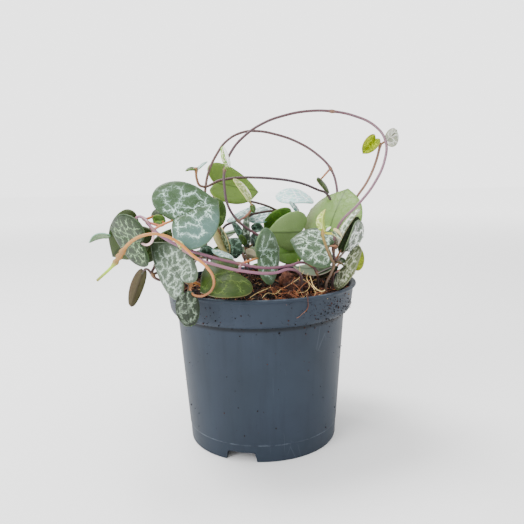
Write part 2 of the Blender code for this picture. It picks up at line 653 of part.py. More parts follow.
             "from": (-34.6, -17.4, 57.9), "tip": (-38.8, -17.1, 46.9),
             "face": (-0.17, 0.94, 0.31), "width": 4.3, "fold": 18, "bow": 0.11, "shape": "oval"},
            {"node": (-30.9, -16.8, 59.4), "from": (-30.2, -20.9, 61.7),
             "tip": (-25.8, -17.2, 70.2), "face": (0.05, -0.99, 0.11), "width": 6.2},
        ],
    },
    # Short upright stems that fill the middle.
    "vine_centre_left": {
        "root": (-9.5, -9.5),
        "path": [(-9.6, -9.2, 56), (-9.8, -8.8, 60.3), (-9.4, -8, 64)],
        "leaves": [
            {"node": (-9.8, -8.8, 60.1), "from": (-9.8, -8.5, 61.3), "tip": (-13.3, -5, 69.5),
             "face": (-0.04, -0.98, 0.17), "width": 10, "fold": 68, "bow": 0.1, "shape": "oval"},
            {"node": (-9.7, -9, 58.6), "from": (-7.7, -8.4, 60.7), "tip": (-8.1, -5.8, 65.9),
             "face": (-0.01, -0.95, 0.3), "width": 5.5, "fold": 25, "bow": 0.08, "shape": "oval"},
            {"node": (-9.6, -9.2, 56.6), "via": [(-8.8, -13, 59.8)], "from": (-8.1, -17, 61.2),
             "tip": (-14.1, -18.3, 63.7), "face": (0.07, -0.12, 0.99), "width": 8.2, "fold": -6,
             "bow": 0.03, "shape": "oval"},
            {"node": (-9.4, -8, 63.8), "via": [(-12.4, -9.4, 68.4)], "from": (-13.6, -10.5, 70.3),
             "tip": (-12.4, -11.8, 78.7), "face": (-0.36, -0.9, 0.26), "width": 7.2, "fold": -10,
             "bow": 0.05, "shape": "oval"},
            {"node": (-9.7, -9, 58.8), "from": (-8.1, -6.8, 59.6), "tip": (-5.5, -5.4, 62.7),
             "face": (0.1, -0.97, 0.21), "width": 4.8, "fold": 67, "bow": 0.09, "shape": "oval"},
            {"node": (-9.6, -9.2, 57.2), "via": [(-12, -12.6, 60.4)], "from": (-14.2, -15, 62),
             "tip": (-18.4, -13.1, 62.7), "face": (-0.14, -0.92, 0.37), "width": 6.4, "fold": 56,
             "bow": 0.09},
        ],
    },
    "vine_centre": {
        "root": (-3.5, -1.5),
        "path": [(-3.8, -1.4, 58), (-4.4, -0.8, 62.5), (-4.2, 0.6, 67)],
        "leaves": [
            {"node": (-4.3, -0.9, 62), "from": (-3.9, -2, 62.6), "tip": (-3.9, 0, 73),
             "face": (-0.15, -0.98, 0.1), "width": 2.7, "fold": 27, "bow": 0.11, "shape": "oval"},
            {"node": (-4.3, -0.9, 62), "from": (-4.6, -3, 63), "tip": (-8.7, 2.5, 70),
             "face": (0.21, -0.96, 0.17), "width": 3.2, "fold": 43, "shape": "oval"},
            {"node": (-4.2, 0.6, 66.6), "from": (-2.2, 0, 67.8), "tip": (1.5, 1.8, 68),
             "face": (0.04, -0.95, 0.31), "width": 4.8, "fold": 52, "bow": 0.09},
            {"node": (-3.8, -1.4, 58.4), "via": [(-2.6, -6.6, 60.6)], "from": (-3.8, -11, 61.3),
             "tip": (-0.8, -13.8, 60.5), "face": (-0.09, 0.93, 0.35), "width": 3.8, "fold": 21,
             "bow": 0.07},
            {"node": (-4.3, -0.9, 62.1), "from": (-4.5, -3.9, 63.4), "tip": (-6.2, -3.2, 66.6),
             "face": (0.01, -1, 0.05), "width": 2.2, "fold": 18, "shape": "oval"},
            {"node": (-4.3, -0.8, 61.7), "from": (-1.7, -1.8, 62.6), "tip": (-1.5, -1.5, 66.9),
             "face": (-0.86, -0.51, 0.07), "width": 5.5, "fold": -6, "bow": 0.08,
             "shape": "oval"},
        ],
    },
    # The small upright shoot with a closed bud at the front right.
    "vine_bud_shoot": {
        "root": (19.6, -17),
        "colour": "pale",
        "path": [
            (20.8, -17.4, 55.4), (21.8, -18.2, 58.6), (20.9, -19, 60.4), (19.9, -19.8, 62.6),
            (18.9, -20.5, 65.3), (18.2, -20.8, 68), (18.6, -20.9, 69.3),
        ],
        "leaves": [
            {"from": (18.8, -20.6, 69.6), "tip": (19, -20.9, 75.2), "face": (-0.8, -0.5, 0.1),
             "width": 4.4, "fold": 48, "thick": 0.8},
            {"node": (18.6, -20.8, 68.3), "from": (21.5, -20.5, 68.6), "tip": (23.7, -20, 66),
             "face": (0.2, -0.7, 0.7), "width": 2.8, "thick": 0.7},
            {"node": (18.4, -20.7, 68.9), "from": (19.1, -20.8, 69.3), "tip": (20.7, -20.4, 69.9),
             "face": (-0.2, -0.7, 0.7), "width": 1.7, "thick": 0.7},
        ],
    },
    # Stems behind the front ones, and those that trail over the back of the rim.
    "vine_middle_right": {
        "root": (9, 4.5),
        "path": [(9, 5, 57), (9.6, 8, 60.4), (11, 12.6, 62.6)],
        "leaves": [
            {"node": (11, 12.4, 62.5), "from": (12.6, 14, 62.6), "tip": (20, 21.4, 60.4),
             "face": (0.2, 0.1, 0.95), "width": 12},
            {"node": (11, 12.4, 62.5), "from": (9.4, 15, 62.4), "tip": (4.6, 23, 60.8),
             "face": (-0.1, 0.2, 0.95), "width": 11},
            {"node": (9.2, 5.6, 57.6), "from": (11.4, 7.4, 57.8), "tip": (18, 10.6, 57),
             "face": (0.1, -0.2, 0.95), "width": 7.6},
        ],
    },
    "vine_middle_left": {
        "root": (-5, 10.5),
        "path": [(-5.4, 11, 57), (-8, 13.5, 61), (-12.5, 15.5, 64.5)],
        "leaves": [
            {"node": (-12.3, 15.4, 64.3), "from": (-14.6, 15.2, 65), "tip": (-24.4, 14.6, 62.6),
             "face": (-0.2, 0.1, 0.95), "width": 13},
            {"node": (-12.3, 15.4, 64.3), "from": (-12.6, 17.8, 64.8), "tip": (-13.6, 28, 61),
             "face": (-0.1, 0.3, 0.93), "width": 13},
            {"node": (-5.5, 11.1, 57.6), "from": (-3.6, 13, 58.4), "tip": (2.6, 20.6, 57.6),
             "face": (0.1, 0.1, 0.97), "width": 12},
        ],
    },
    "vine_back_left": {
        "root": (-14.5, 10.5),
        "path": [(-16.2, 13, 55.6), (-20.4, 18, 56.6), (-24.2, 22.6, 53.6), (-25, 24.2, 46),
                 (-24, 23.6, 37)],
        "leaves": hanging_pair((-20, 17.6, 56.6), (-1, 1, 0.1), (-0.6, 0.5, 0.8), 12, 0.5, 0.8)
        + hanging_pair((-24.8, 24, 47.5), (0, 0, -1), (-0.7, 0.72, 0), 12.5)
        + hanging_pair((-24.1, 23.7, 38), (0, 0, -1), (-0.7, 0.72, 0), 7.5),
    },
    "vine_back": {
        "root": (3, 16),
        "path": [(3.3, 20, 55.4), (4.2, 27, 56), (5, 32.6, 53), (5.4, 34.2, 46),
                 (5, 33.6, 37), (4.2, 32.6, 30)],
        "leaves": hanging_pair((4.1, 26.4, 56), (0.1, 1, 0), (0, 0.4, 0.9), 10.5, 0.35, 0.9)
        + hanging_pair((5.4, 34, 48), (0, 0, -1), (0.1, 1, 0), 14)
        + hanging_pair((4.9, 33.4, 36.2), (0, 0, -1), (0.1, 1, 0), 9.5),
    },
    "vine_back_right": {
        "root": (15.5, 12),
        "path": [(18, 16, 55.4), (21.6, 21.4, 56), (24.2, 25, 52.6), (24.8, 26.2, 45),
                 (24, 25.6, 38)],
        "leaves": hanging_pair((19.4, 18, 56), (0.7, 0.9, 0), (0.3, 0.3, 0.9), 9, 0.3, 0.9)
        + hanging_pair((24.7, 26, 47), (0, 0, -1), (0.6, 0.8, 0), 10.5),
    },
}


def main():
    clear_scene()
    whole = add_collection("potted_string_of_hearts")
    build_pot(whole)
    build_soil([vine["root"] for vine in VINES.values()], whole)
    build_coir_lump(whole)
    for name, vine in VINES.items():
        build_vine(name, vine, whole)
    for obj in whole.objects:
        obj.data.transform(Matrix.Translation(Vector(CENTRE_SHIFT) * MM))


main()
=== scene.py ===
import json
import math

import bmesh
import bpy
import numpy as np
from mathutils import Matrix, Vector, noise

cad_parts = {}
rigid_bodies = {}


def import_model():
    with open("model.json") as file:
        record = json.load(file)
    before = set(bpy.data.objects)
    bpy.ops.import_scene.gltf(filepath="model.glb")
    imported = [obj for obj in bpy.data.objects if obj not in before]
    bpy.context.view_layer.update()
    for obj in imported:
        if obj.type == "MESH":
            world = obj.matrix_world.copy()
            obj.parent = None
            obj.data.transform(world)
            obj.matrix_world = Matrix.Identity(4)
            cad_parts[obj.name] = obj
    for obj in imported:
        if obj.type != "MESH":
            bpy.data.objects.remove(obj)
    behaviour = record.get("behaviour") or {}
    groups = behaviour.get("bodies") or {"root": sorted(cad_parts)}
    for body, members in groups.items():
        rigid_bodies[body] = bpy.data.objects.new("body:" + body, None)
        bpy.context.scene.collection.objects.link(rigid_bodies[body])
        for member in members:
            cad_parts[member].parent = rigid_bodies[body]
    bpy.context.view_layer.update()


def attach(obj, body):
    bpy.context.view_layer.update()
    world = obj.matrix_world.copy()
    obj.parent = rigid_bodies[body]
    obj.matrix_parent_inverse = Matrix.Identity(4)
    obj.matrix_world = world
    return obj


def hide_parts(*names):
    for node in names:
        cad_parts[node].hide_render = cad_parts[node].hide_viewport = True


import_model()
scene = bpy.context.scene
mm = 0.001
potAxis = np.array((3.1, -2.0, 0.0))  # where the pot's axis stands in the frame, in mm
tau = 2 * math.pi


def linear(hexColour):
    # sRGB hex to the linear values that Blender's sockets hold
    values = [int(hexColour[i:i + 2], 16) / 255 for i in (1, 3, 5)]
    return tuple(v / 12.92 if v <= 0.04045 else ((v + 0.055) / 1.055) ** 2.4 for v in values) + (1.0,)


def setSockets(tree, node, inputs):
    # Values and links of one node: a node means its first output, and a hex string means a colour
    for key, value in inputs.items():
        if isinstance(value, bpy.types.Node):
            value = value.outputs[0]
        if isinstance(value, bpy.types.NodeSocket):
            tree.links.new(value, node.inputs[key])
        elif isinstance(value, str) and value.startswith("#"):
            node.inputs[key].default_value = linear(value)
        else:
            node.inputs[key].default_value = value


def addNode(tree, kind, inputs=None, **settings):
    node = tree.nodes.new(kind)
    for name, value in settings.items():
        setattr(node, name, value)
    setSockets(tree, node, inputs or {})
    return node


def newMaterial(name):
    material = bpy.data.materials.new(name)
    material.use_nodes = True
    tree = material.node_tree
    return material, tree, tree.nodes["Principled BSDF"]


# Camera: the photograph's own viewpoint, worked out from the pot's ellipses
cameraLooks = {
    "focalPixels": 570.17,  # in a frame of 524 pixels
    "framePixels": 524,
    "place": (0.0, -183.98, 84.57),  # mm from the pot's foot
    "pitch": 0.1481,
    "yaw": 0.0036,
    "roll": -0.0209,
    "sensor": 36.0,
}


def makeCamera():
    look = cameraLooks
    pitch, yaw, roll = look["pitch"], look["yaw"], look["roll"]
    forward = Vector((math.sin(yaw) * math.cos(pitch), math.cos(yaw) * math.cos(pitch), -math.sin(pitch)))
    right = Vector((math.cos(yaw), -math.sin(yaw), 0.0))
    up = right.cross(forward)
    turnedRight = right * math.cos(roll) + up * math.sin(roll)
    turnedUp = up * math.cos(roll) - right * math.sin(roll)
    data = bpy.data.cameras.new("photoCamera")
    data.sensor_width = look["sensor"]
    data.lens = look["focalPixels"] / look["framePixels"] * look["sensor"]
    data.clip_start = 0.001
    camera = bpy.data.objects.new("photoCamera", data)
    scene.collection.objects.link(camera)
    turn = Matrix((turnedRight, turnedUp, -forward)).transposed().to_4x4()
    camera.matrix_world = Matrix.Translation(Vector(np.array(look["place"]) + potAxis) * mm) @ turn
    scene.camera = camera


makeCamera()
print("stage: camera")


# Studio: pale floor, big soft lights; sizes and places in metres
studioLooks = {
    "floorSize": 6.0,
    "floorColour": "#fbfbfb",
    "skyColour": "#ffffff",
    "skyStrength": 1.5,
    "seenStrength": 2.9,  # the backdrop as the camera sees it, as bright as the lit paper
    "farGlow": 1.35,  # the far paper, which the lights hardly reach, is as bright as the near
    "lightsAim": (0.0, 0.0, 0.05),
    # place, size and watts
    "lights": {
        "topLight": ((-0.20, 0.12, 0.60), 0.30, 4.6),
        "sideLight": ((-0.42, -0.46, 0.34), 0.40, 3.4),
    },
}


def makeStudio():
    look = studioLooks
    world = bpy.data.worlds.new("studioSky")
    scene.world = world
    world.use_nodes = True
    tree = world.node_tree
    seen = addNode(tree, "ShaderNodeLightPath").outputs["Is Camera Ray"]
    strength = addNode(tree, "ShaderNodeMapRange", {
        "Value": seen, "To Min": look["skyStrength"], "To Max": look["seenStrength"],
    })
    setSockets(tree, tree.nodes["Background"], {"Color": look["skyColour"], "Strength": strength})
    half = look["floorSize"] / 2
    mesh = bpy.data.meshes.new("studioFloor")
    corners = [(-half, -half, 0), (half, -half, 0), (half, half, 0), (-half, half, 0)]
    mesh.from_pydata(corners, [], [(0, 1, 2, 3)])
    floor = bpy.data.objects.new("studioFloor", mesh)
    scene.collection.objects.link(floor)
    # A dull white sheet: it only takes the shadow
    paper, tree, shader = newMaterial("matteBackgroundPaper")
    spot = addNode(tree, "ShaderNodeTexCoord").outputs["Object"]
    reach = addNode(tree, "ShaderNodeVectorMath", {0: spot}, operation="LENGTH").outputs["Value"]
    far = addNode(tree, "ShaderNodeMapRange", {
        "Value": reach, "From Min": 0.2, "From Max": 1.2, "To Max": look["farGlow"],
    }, interpolation_type="SMOOTHSTEP")
    setSockets(tree, shader, {
        "Base Color": look["floorColour"], "Roughness": 0.9, "Specular IOR Level": 0.0,
        "Emission Color": look["floorColour"], "Emission Strength": far,
    })
    mesh.materials.append(paper)
    for name, (spot, size, watts) in look["lights"].items():
        data = bpy.data.lights.new(name, "AREA")
        data.shape = "DISK"
        data.size = size
        data.energy = watts
        light = bpy.data.objects.new(name, data)
        light.location = spot
        aim = Vector(look["lightsAim"]) - Vector(spot)
        light.rotation_euler = aim.to_track_quat("-Z", "Y").to_euler()
        scene.collection.objects.link(light)


makeStudio()
print("stage: studio")


def newObject(name, mesh):
    mesh.polygons.foreach_set("use_smooth", [True] * len(mesh.polygons))
    obj = bpy.data.objects.new(name, mesh)
    scene.collection.objects.link(obj)
    return obj


def meshObject(name, verts, faces, edges=()):
    mesh = bpy.data.meshes.new(name)
    mesh.from_pydata(verts, edges, faces)
    mesh.update()
    return newObject(name, mesh)


def storePoints(mesh, name, kind, values):
    # One value, vector or colour per vertex, kept in the mesh for its material or its nodes
    attribute = mesh.attributes.new(name, kind, "POINT")
    field = {"FLOAT": "value", "FLOAT_VECTOR": "vector", "FLOAT_COLOR": "color"}[kind]
    attribute.data.foreach_set(field, np.asarray(values, np.float32).ravel())


def outwards(mesh):
    bm = bmesh.new()
    bm.from_mesh(mesh)
    bmesh.ops.recalc_face_normals(bm, faces=bm.faces)
    bm.to_mesh(mesh)
    bm.free()


def circle(radius, count):
    return [(radius * math.cos(tau * k / count), radius * math.sin(tau * k / count)) for k in range(count)]


def discSpots(radii, count):
    # A middle point, then its rings
    return [(0.0, 0.0)] + [spot for radius in radii for spot in circle(radius, count)]


def bandFaces(rows, count, first=0):
    # Squares between rings of points that follow one another
    faces = []
    for row in range(rows):
        for k in range(count):
            a, b = first + row * count + k, first + row * count + (k + 1) % count
            faces.append((a, a + count, b + count, b))
    return faces


def discFaces(rings, count):
    return [(0, 1 + k, 1 + (k + 1) % count) for k in range(count)] + bandFaces(rings - 1, count, 1)


def frozen(obj):
    # The modifiers' result becomes the plain mesh
    graph = bpy.context.evaluated_depsgraph_get()
    mesh = bpy.data.meshes.new_from_object(obj.evaluated_get(graph))
    obj.modifiers.clear()
    obj.data = mesh


def dressed(mesh, material):
    mesh.materials.clear()
    mesh.materials.append(material)
    mesh.polygons.foreach_set("use_smooth", [True] * len(mesh.polygons))


def runNodes(obj, tree, values):
    # Runs a Geometry Nodes tree on the object with these named inputs, and keeps its result as a mesh
    modifier = obj.modifiers.new(tree.name, "NODES")
    modifier.node_group = tree
    for item in tree.interface.items_tree:
        if item.item_type == "SOCKET" and item.in_out == "INPUT" and item.name in values:
            modifier[item.identifier] = values[item.name]
    frozen(obj)
    outwards(obj.data)
    dressed(obj.data, values["Material"])
    obj.data.polygons.foreach_set("material_index", [0] * len(obj.data.polygons))


def newNodeTree(name, sockets):
    tree = bpy.data.node_groups.new(name, "GeometryNodeTree")
    tree.interface.new_socket("Geometry", in_out="INPUT", socket_type="NodeSocketGeometry")
    tree.interface.new_socket("Geometry", in_out="OUTPUT", socket_type="NodeSocketGeometry")
    for label, kind in sockets:
        tree.interface.new_socket(label, in_out="INPUT", socket_type="NodeSocket" + kind)
    given = addNode(tree, "NodeGroupInput")
    return tree, given


def endTree(tree, given, geometry):
    # Every tree ends the same way: real geometry with its material
    real = addNode(tree, "GeometryNodeRealizeInstances", {"Geometry": geometry})
    dressed = addNode(tree, "GeometryNodeSetMaterial", {
        "Geometry": real, "Material": given.outputs["Material"],
    })
    addNode(tree, "NodeGroupOutput", {"Geometry": dressed})


def place(obj, slot, *nodes):
    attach(obj, "root")
    if nodes:
        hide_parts(*nodes)


# Pot: thin injection-moulded polypropylene, a turned form with a deep rim band; in mm and degrees
potLooks = {
    "segments": 176,
    "height": 51.0,
    "lipRadius": 31.0,
    "bandTopRadius": 30.1,
    "bandLowRadius": 29.3,
    "bandLowZ": 42.1,
    "bodyTopRadius": 27.1,
    "footRadius": 24.0,
    "grooveZ": 5.2,
    "wall": 0.95,
    "floorZ": 4.6,
    "floorThick": 1.0,
    "notchWidth": 9.6,
    "notchHeight": 3.0,
    "notchFirstAngle": -106.7,
    "drainRadius": 2.4,
    "drainRing": 12.5,
    "drainFirstAngle": 15.0,
    "sharpFrom": 35,
    "colour": "#222a34",
    "paleColour": "#29323e",
    "deepColour": "#1c222b",
    "soilFilm": "#2c211d",
    # pale colour of the hairline scratches, of the groove's worn line and of the lip line, which is also a
    # painted highlight
    "scratchAndLipHighlight": "#5a6470",
    # the dark colour of the painted shade under the band's step
    "stepShade": "#12161b",
}


def potProfile():
    # Radius, height and rounding, from the middle of the inside floor over the lip to that of the underside
    p = potLooks
    wall, top, lip, foot = p["wall"], p["height"], p["lipRadius"], p["footRadius"]
    bandTop, bandLow, bandZ = p["bandTopRadius"], p["bandLowRadius"], p["bandLowZ"]
    body, groove, floor = p["bodyTopRadius"], p["grooveZ"], p["floorZ"]
    return [
        (0.0, floor, 0),
        (foot - wall + 0.4, floor, 0.8),
        (body - wall, bandZ - 1.0, 0.8),
        (bandLow - wall, bandZ + 1.6, 0.8),
        (bandTop - wall, top - 0.6, 0.5),
        (lip - 0.95, top + 0.03, 0.3),
        (lip - 0.1, top - 0.02, 0.28),
        (lip, top - 0.75, 0.3),
        (bandTop + 0.02, top - 1.2, 0.35),
        (bandLow + 0.03, bandZ + 1.6, 1.6),
        (bandLow - 0.8, bandZ + 0.2, 0.7),
        (body + 0.02, bandZ - 0.1, 0.35),
        (foot + 0.44, groove + 0.16, 0.06),
        (foot + 0.34, groove + 0.04, 0.05),
        (foot + 0.33, groove - 0.1, 0.08),
        (foot + 0.02, 0.0, 0.35),
        (foot - wall - 0.1, 0.0, 0.2),
        (foot - wall + 0.1, floor - p["floorThick"], 0.4),
        (0.0, floor - p["floorThick"], 0),
    ]


def rounded(profile, steps=4):
    # Each inner corner of the profile becomes a short arc of its own rounding
    points = [Vector(profile[0][:2])]
    for before, here, after in zip(profile, profile[1:], profile[2:]):
        corner, radius = Vector(here[:2]), here[2]
        back = Vector(before[:2]) - corner
        ahead = Vector(after[:2]) - corner
        reach = min(radius, back.length * 0.45, ahead.length * 0.45)
        start, end = corner + back.normalized() * reach, corner + ahead.normalized() * reach
        for i in range(steps + 1):
            t = i / steps
            points.append(start * (1 - t) ** 2 + corner * 2 * t * (1 - t) + end * t * t)
    points.append(Vector(profile[-1][:2]))
    return points


def turnedTree():
    # Turns a row of profile points about +Z: each column of a grid takes its place from the profile
    tree, given = newNodeTree("turnedForm", [("Segments", "Int"), ("Material", "Material")])
    size = addNode(tree, "GeometryNodeAttributeDomainSize", {"Geometry": given.outputs["Geometry"]})
    columns = addNode(tree, "ShaderNodeMath", {0: given.outputs["Segments"], 1: 1.0}, operation="ADD")
    grid = addNode(tree, "GeometryNodeMeshGrid", {
        "Size X": 1.0, "Size Y": 1.0, "Vertices X": columns, "Vertices Y": size.outputs["Point Count"],
    })
    spot = addNode(tree, "ShaderNodeSeparateXYZ", {0: addNode(tree, "GeometryNodeInputPosition")})
    angle = addNode(tree, "ShaderNodeMath", {0: spot.outputs["X"], 1: 2 * math.pi}, operation="MULTIPLY")
    last = addNode(tree, "ShaderNodeMath", {0: size.outputs["Point Count"], 1: 1.0}, operation="SUBTRACT")
    along = addNode(tree, "ShaderNodeMath", {0: spot.outputs["Y"], 1: 0.5}, operation="ADD")
    row = addNode(tree, "ShaderNodeMath", {0: along, 1: last}, operation="MULTIPLY")
    index = addNode(tree, "ShaderNodeMath", {0: row}, operation="ROUND")
    point = addNode(tree, "GeometryNodeSampleIndex", {
        "Geometry": given.outputs["Geometry"], "Value": addNode(tree, "GeometryNodeInputPosition"),
        "Index": index,
    }, data_type="FLOAT_VECTOR", domain="POINT")
    profile = addNode(tree, "ShaderNodeSeparateXYZ", {0: point})
    cosine = addNode(tree, "ShaderNodeMath", {0: angle}, operation="COSINE")
    sine = addNode(tree, "ShaderNodeMath", {0: angle}, operation="SINE")
    x = addNode(tree, "ShaderNodeMath", {0: profile.outputs["X"], 1: cosine}, operation="MULTIPLY")
    y = addNode(tree, "ShaderNodeMath", {0: profile.outputs["X"], 1: sine}, operation="MULTIPLY")
    spun = addNode(tree, "ShaderNodeCombineXYZ", {"X": x, "Y": y, "Z": profile.outputs["Z"]})
    turned = addNode(tree, "GeometryNodeSetPosition", {"Geometry": grid, "Position": spun})
    merged = addNode(tree, "GeometryNodeMergeByDistance", {"Geometry": turned, "Distance": 0.000005})
    endTree(tree, given, merged)
    return tree


def potMaterial():
    # Grey-blue moulded polypropylene: satin, with faint vertical flow, scuffs, scratches and a soil film; a
    # pale lip line that is wear and a painted highlight, and painted shade under the band's step
    p = potLooks
    material, tree, shader = newMaterial("mouldedPolypropylene")
    where = addNode(tree, "ShaderNodeTexCoord").outputs["Object"]
    centred = addNode(tree, "ShaderNodeMapping", {"Vector": where, "Location": tuple(-potAxis * mm)})
    cloud = addNode(tree, "ShaderNodeTexNoise", {
        "Vector": centred, "Scale": 45.0, "Detail": 3.0,
    })  # 22 mm patches
    tone = addNode(tree, "ShaderNodeMapRange", {"Value": cloud, "From Min": 0.3, "From Max": 0.7})
    base = addNode(tree, "ShaderNodeMix", {
        0: tone, 6: p["colour"], 7: p["paleColour"],
    }, data_type="RGBA")
    stretched = addNode(tree, "ShaderNodeMapping", {"Vector": centred, "Scale": (1.0, 1.0, 0.06)})
    flow = addNode(tree, "ShaderNodeTexNoise", {
        "Vector": stretched, "Scale": 420.0, "Detail": 4.0,
    })  # 2.4 mm streaks
    streak = addNode(tree, "ShaderNodeMapRange", {
        "Value": flow, "From Min": 0.48, "From Max": 0.75, "To Max": 0.30,
    })
    streaked = addNode(tree, "ShaderNodeMix", {
        0: streak, 6: base.outputs[2], 7: p["deepColour"],
    }, data_type="RGBA")
    smudge = addNode(tree, "ShaderNodeTexNoise", {
        "Vector": centred, "Scale": 170.0, "Detail": 6.0, "Roughness": 0.7,
    })
    side = addNode(tree, "ShaderNodeSeparateXYZ", {0: centred})
    upper = addNode(tree, "ShaderNodeMapRange", {
        "Value": side.outputs["Z"], "From Min": 0.038, "From Max": 0.050,
    })
    right = addNode(tree, "ShaderNodeMapRange", {
        "Value": side.outputs["X"], "From Min": -0.01, "From Max": 0.026,
    })
    dirtyPlace = addNode(tree, "ShaderNodeMath", {0: upper, 1: right}, operation="MULTIPLY")
    dirtyCut = addNode(tree, "ShaderNodeMapRange", {"Value": dirtyPlace, "To Min": 0.74, "To Max": 0.56})
    dirtyOver = addNode(tree, "ShaderNodeMath", {0: smudge, 1: dirtyCut}, operation="SUBTRACT")
    film = addNode(tree, "ShaderNodeMapRange", {"Value": dirtyOver, "From Max": 0.08, "To Max": 0.6})
    filmed = addNode(tree, "ShaderNodeMix", {
        0: film, 6: streaked.outputs[2], 7: p["soilFilm"],
    }, data_type="RGBA")
    scratchPath = addNode(tree, "ShaderNodeMapping", {"Vector": centred, "Scale": (1.0, 1.0, 0.22)})
    scratch = addNode(tree, "ShaderNodeTexVoronoi", {
        "Vector": scratchPath, "Scale": 260.0, "Randomness": 1.0,
    }, feature="DISTANCE_TO_EDGE")  # hairlines of about 0.1 mm
    rare = addNode(tree, "ShaderNodeTexNoise", {"Vector": centred, "Scale": 120.0, "Detail": 1.0})
    rareHere = addNode(tree, "ShaderNodeMapRange", {"Value": rare, "From Min": 0.62, "From Max": 0.7})
    hair = addNode(tree, "ShaderNodeMapRange", {
        "Value": scratch, "From Min": 0.0, "From Max": 0.018, "To Min": 0.17, "To Max": 0.0,
    })
    hairHere = addNode(tree, "ShaderNodeMath", {0: hair, 1: rareHere}, operation="MULTIPLY")
    scratched = addNode(tree, "ShaderNodeMix", {
        0: hairHere, 6: filmed.outputs[2], 7: p["scratchAndLipHighlight"],
    }, data_type="RGBA")
    # A pale worn line at the foot's groove, where hands and shelves rub, and a pale line along the lip that
    # is wear and a painted highlight of the lip's edge
    paleLineNoise = addNode(tree, "ShaderNodeTexNoise", {
        "Vector": centred, "Scale": 260.0, "Detail": 4.0, "Roughness": 0.7,
    })
    paleLineMask = addNode(tree, "ShaderNodeMapRange", {
        "Value": paleLineNoise, "From Min": 0.42, "From Max": 0.62, "To Max": 0.4,
    })
    wornAndLipHighlight = scratched.outputs[2]
    for z, reach in ((p["grooveZ"] + 0.2, 0.24), (p["height"], 0.22)):
        off = addNode(tree, "ShaderNodeMath", {
            0: side.outputs["Z"], 1: z * mm, 2: reach * mm,
        }, operation="COMPARE")
        paleLineHere = addNode(tree, "ShaderNodeMath", {0: off, 1: paleLineMask}, operation="MULTIPLY")
        wornAndLipHighlight = addNode(tree, "ShaderNodeMix", {
            0: paleLineHere, 6: wornAndLipHighlight, 7: p["scratchAndLipHighlight"],
        }, data_type="RGBA").outputs[2]
    # Painted shade: a dark line just under the band's step, where the band's shadow falls
    step = addNode(tree, "ShaderNodeMath", {
        0: side.outputs["Z"], 1: -(p["bandLowZ"] - 0.5) * mm,
    }, operation="ADD")
    fromStep = addNode(tree, "ShaderNodeMath", {0: step}, operation="ABSOLUTE")
    stepShadeMask = addNode(tree, "ShaderNodeMapRange", {
        "Value": fromStep, "From Min": 0.0002, "From Max": 0.0011, "To Min": 0.85, "To Max": 0.0,
    }, interpolation_type="SMOOTHSTEP")
    stepShaded = addNode(tree, "ShaderNodeMix", {
        0: stepShadeMask, 6: wornAndLipHighlight, 7: p["stepShade"],
    }, data_type="RGBA")
    gloss = addNode(tree, "ShaderNodeMapRange", {"Value": cloud, "To Min": 0.46, "To Max": 0.58})
    grain = addNode(tree, "ShaderNodeTexNoise", {"Vector": centred, "Scale": 2600.0, "Detail": 2.0})
    waves = addNode(tree, "ShaderNodeMath", {0: flow, 1: 0.6}, operation="MULTIPLY")
    relief = addNode(tree, "ShaderNodeMath", {0: grain, 1: waves}, operation="ADD")
    bump = addNode(tree, "ShaderNodeBump", {"Height": relief, "Strength": 0.2, "Distance": 0.00006})
    setSockets(tree, shader, {
        "Base Color": stepShaded.outputs[2], "Roughness": gloss.outputs[0], "Normal": bump.outputs[0],
        "IOR": 1.49, "Specular IOR Level": 0.18,
    })
    return material


def makePot():
    p = potLooks
    profile = [(point.x * mm, 0.0, point.y * mm) for point in rounded(potProfile())]
    pot = meshObject("nurseryPot", profile, [])
    skin = potMaterial()
    runNodes(pot, turnedTree(), {"Segments": p["segments"], "Material": skin})
    cutters = bpy.data.collections.new("potCutters")
    scene.collection.children.link(cutters)
    half, top = p["notchWidth"] / 2, p["notchHeight"]
    section = [(-half - 0.3, -1.0), (half + 0.3, -1.0), (half - 0.45, top - 0.25), (half - 0.8, top)]
    section += [(0.8 - half, top), (0.45 - half, top - 0.25)]
    count = len(section)
    faces = [tuple(range(count))[::-1], tuple(range(count, 2 * count))]
    faces += [(k, (k + 1) % count, (k + 1) % count + count, k + count) for k in range(count)]
    for i in range(3):
        angle = math.radians(p["notchFirstAngle"] + 120 * i)
        verts = []
        for depth in (p["footRadius"] - 4.0, p["footRadius"] + 3.0):
            for across, z in section:
                x = depth * math.cos(angle) - across * math.sin(angle)
                y = depth * math.sin(angle) + across * math.cos(angle)
                verts.append((x * mm, y * mm, z * mm))
        cutter = meshObject("notchCutter", verts, faces)
        outwards(cutter.data)
        scene.collection.objects.unlink(cutter)
        cutters.objects.link(cutter)
    for i in range(6):
        angle = math.radians(p["drainFirstAngle"] + 60 * i)
        radius = p["drainRadius"] * mm
        bm = bmesh.new()
        bmesh.ops.create_cone(bm, cap_ends=True, segments=32, radius1=radius, radius2=radius, depth=0.005)
        spot = Vector((p["drainRing"] * math.cos(angle), p["drainRing"] * math.sin(angle), 4.5)) * mm
        bmesh.ops.translate(bm, verts=bm.verts, vec=spot)
        mesh = bpy.data.meshes.new("drainCutter")
        bm.to_mesh(mesh)
        bm.free()
        cutters.objects.link(bpy.data.objects.new("drainCutter", mesh))
    cut = pot.modifiers.new("Cut", "BOOLEAN")
    cut.operand_type = "COLLECTION"
    cut.collection = cutters
    cut.solver = "EXACT"
    frozen(pot)
    for cutter in list(cutters.objects):
        bpy.data.objects.remove(cutter)
    bpy.data.collections.remove(cutters)
    pot.data.transform(Matrix.Translation(Vector(potAxis) * mm))
    dressed(pot.data, skin)
    pot.data.set_sharp_from_angle(angle=math.radians(p["sharpFrom"]))
    place(pot, "pot_plastic", "pot")


makePot()
print("stage: pot")


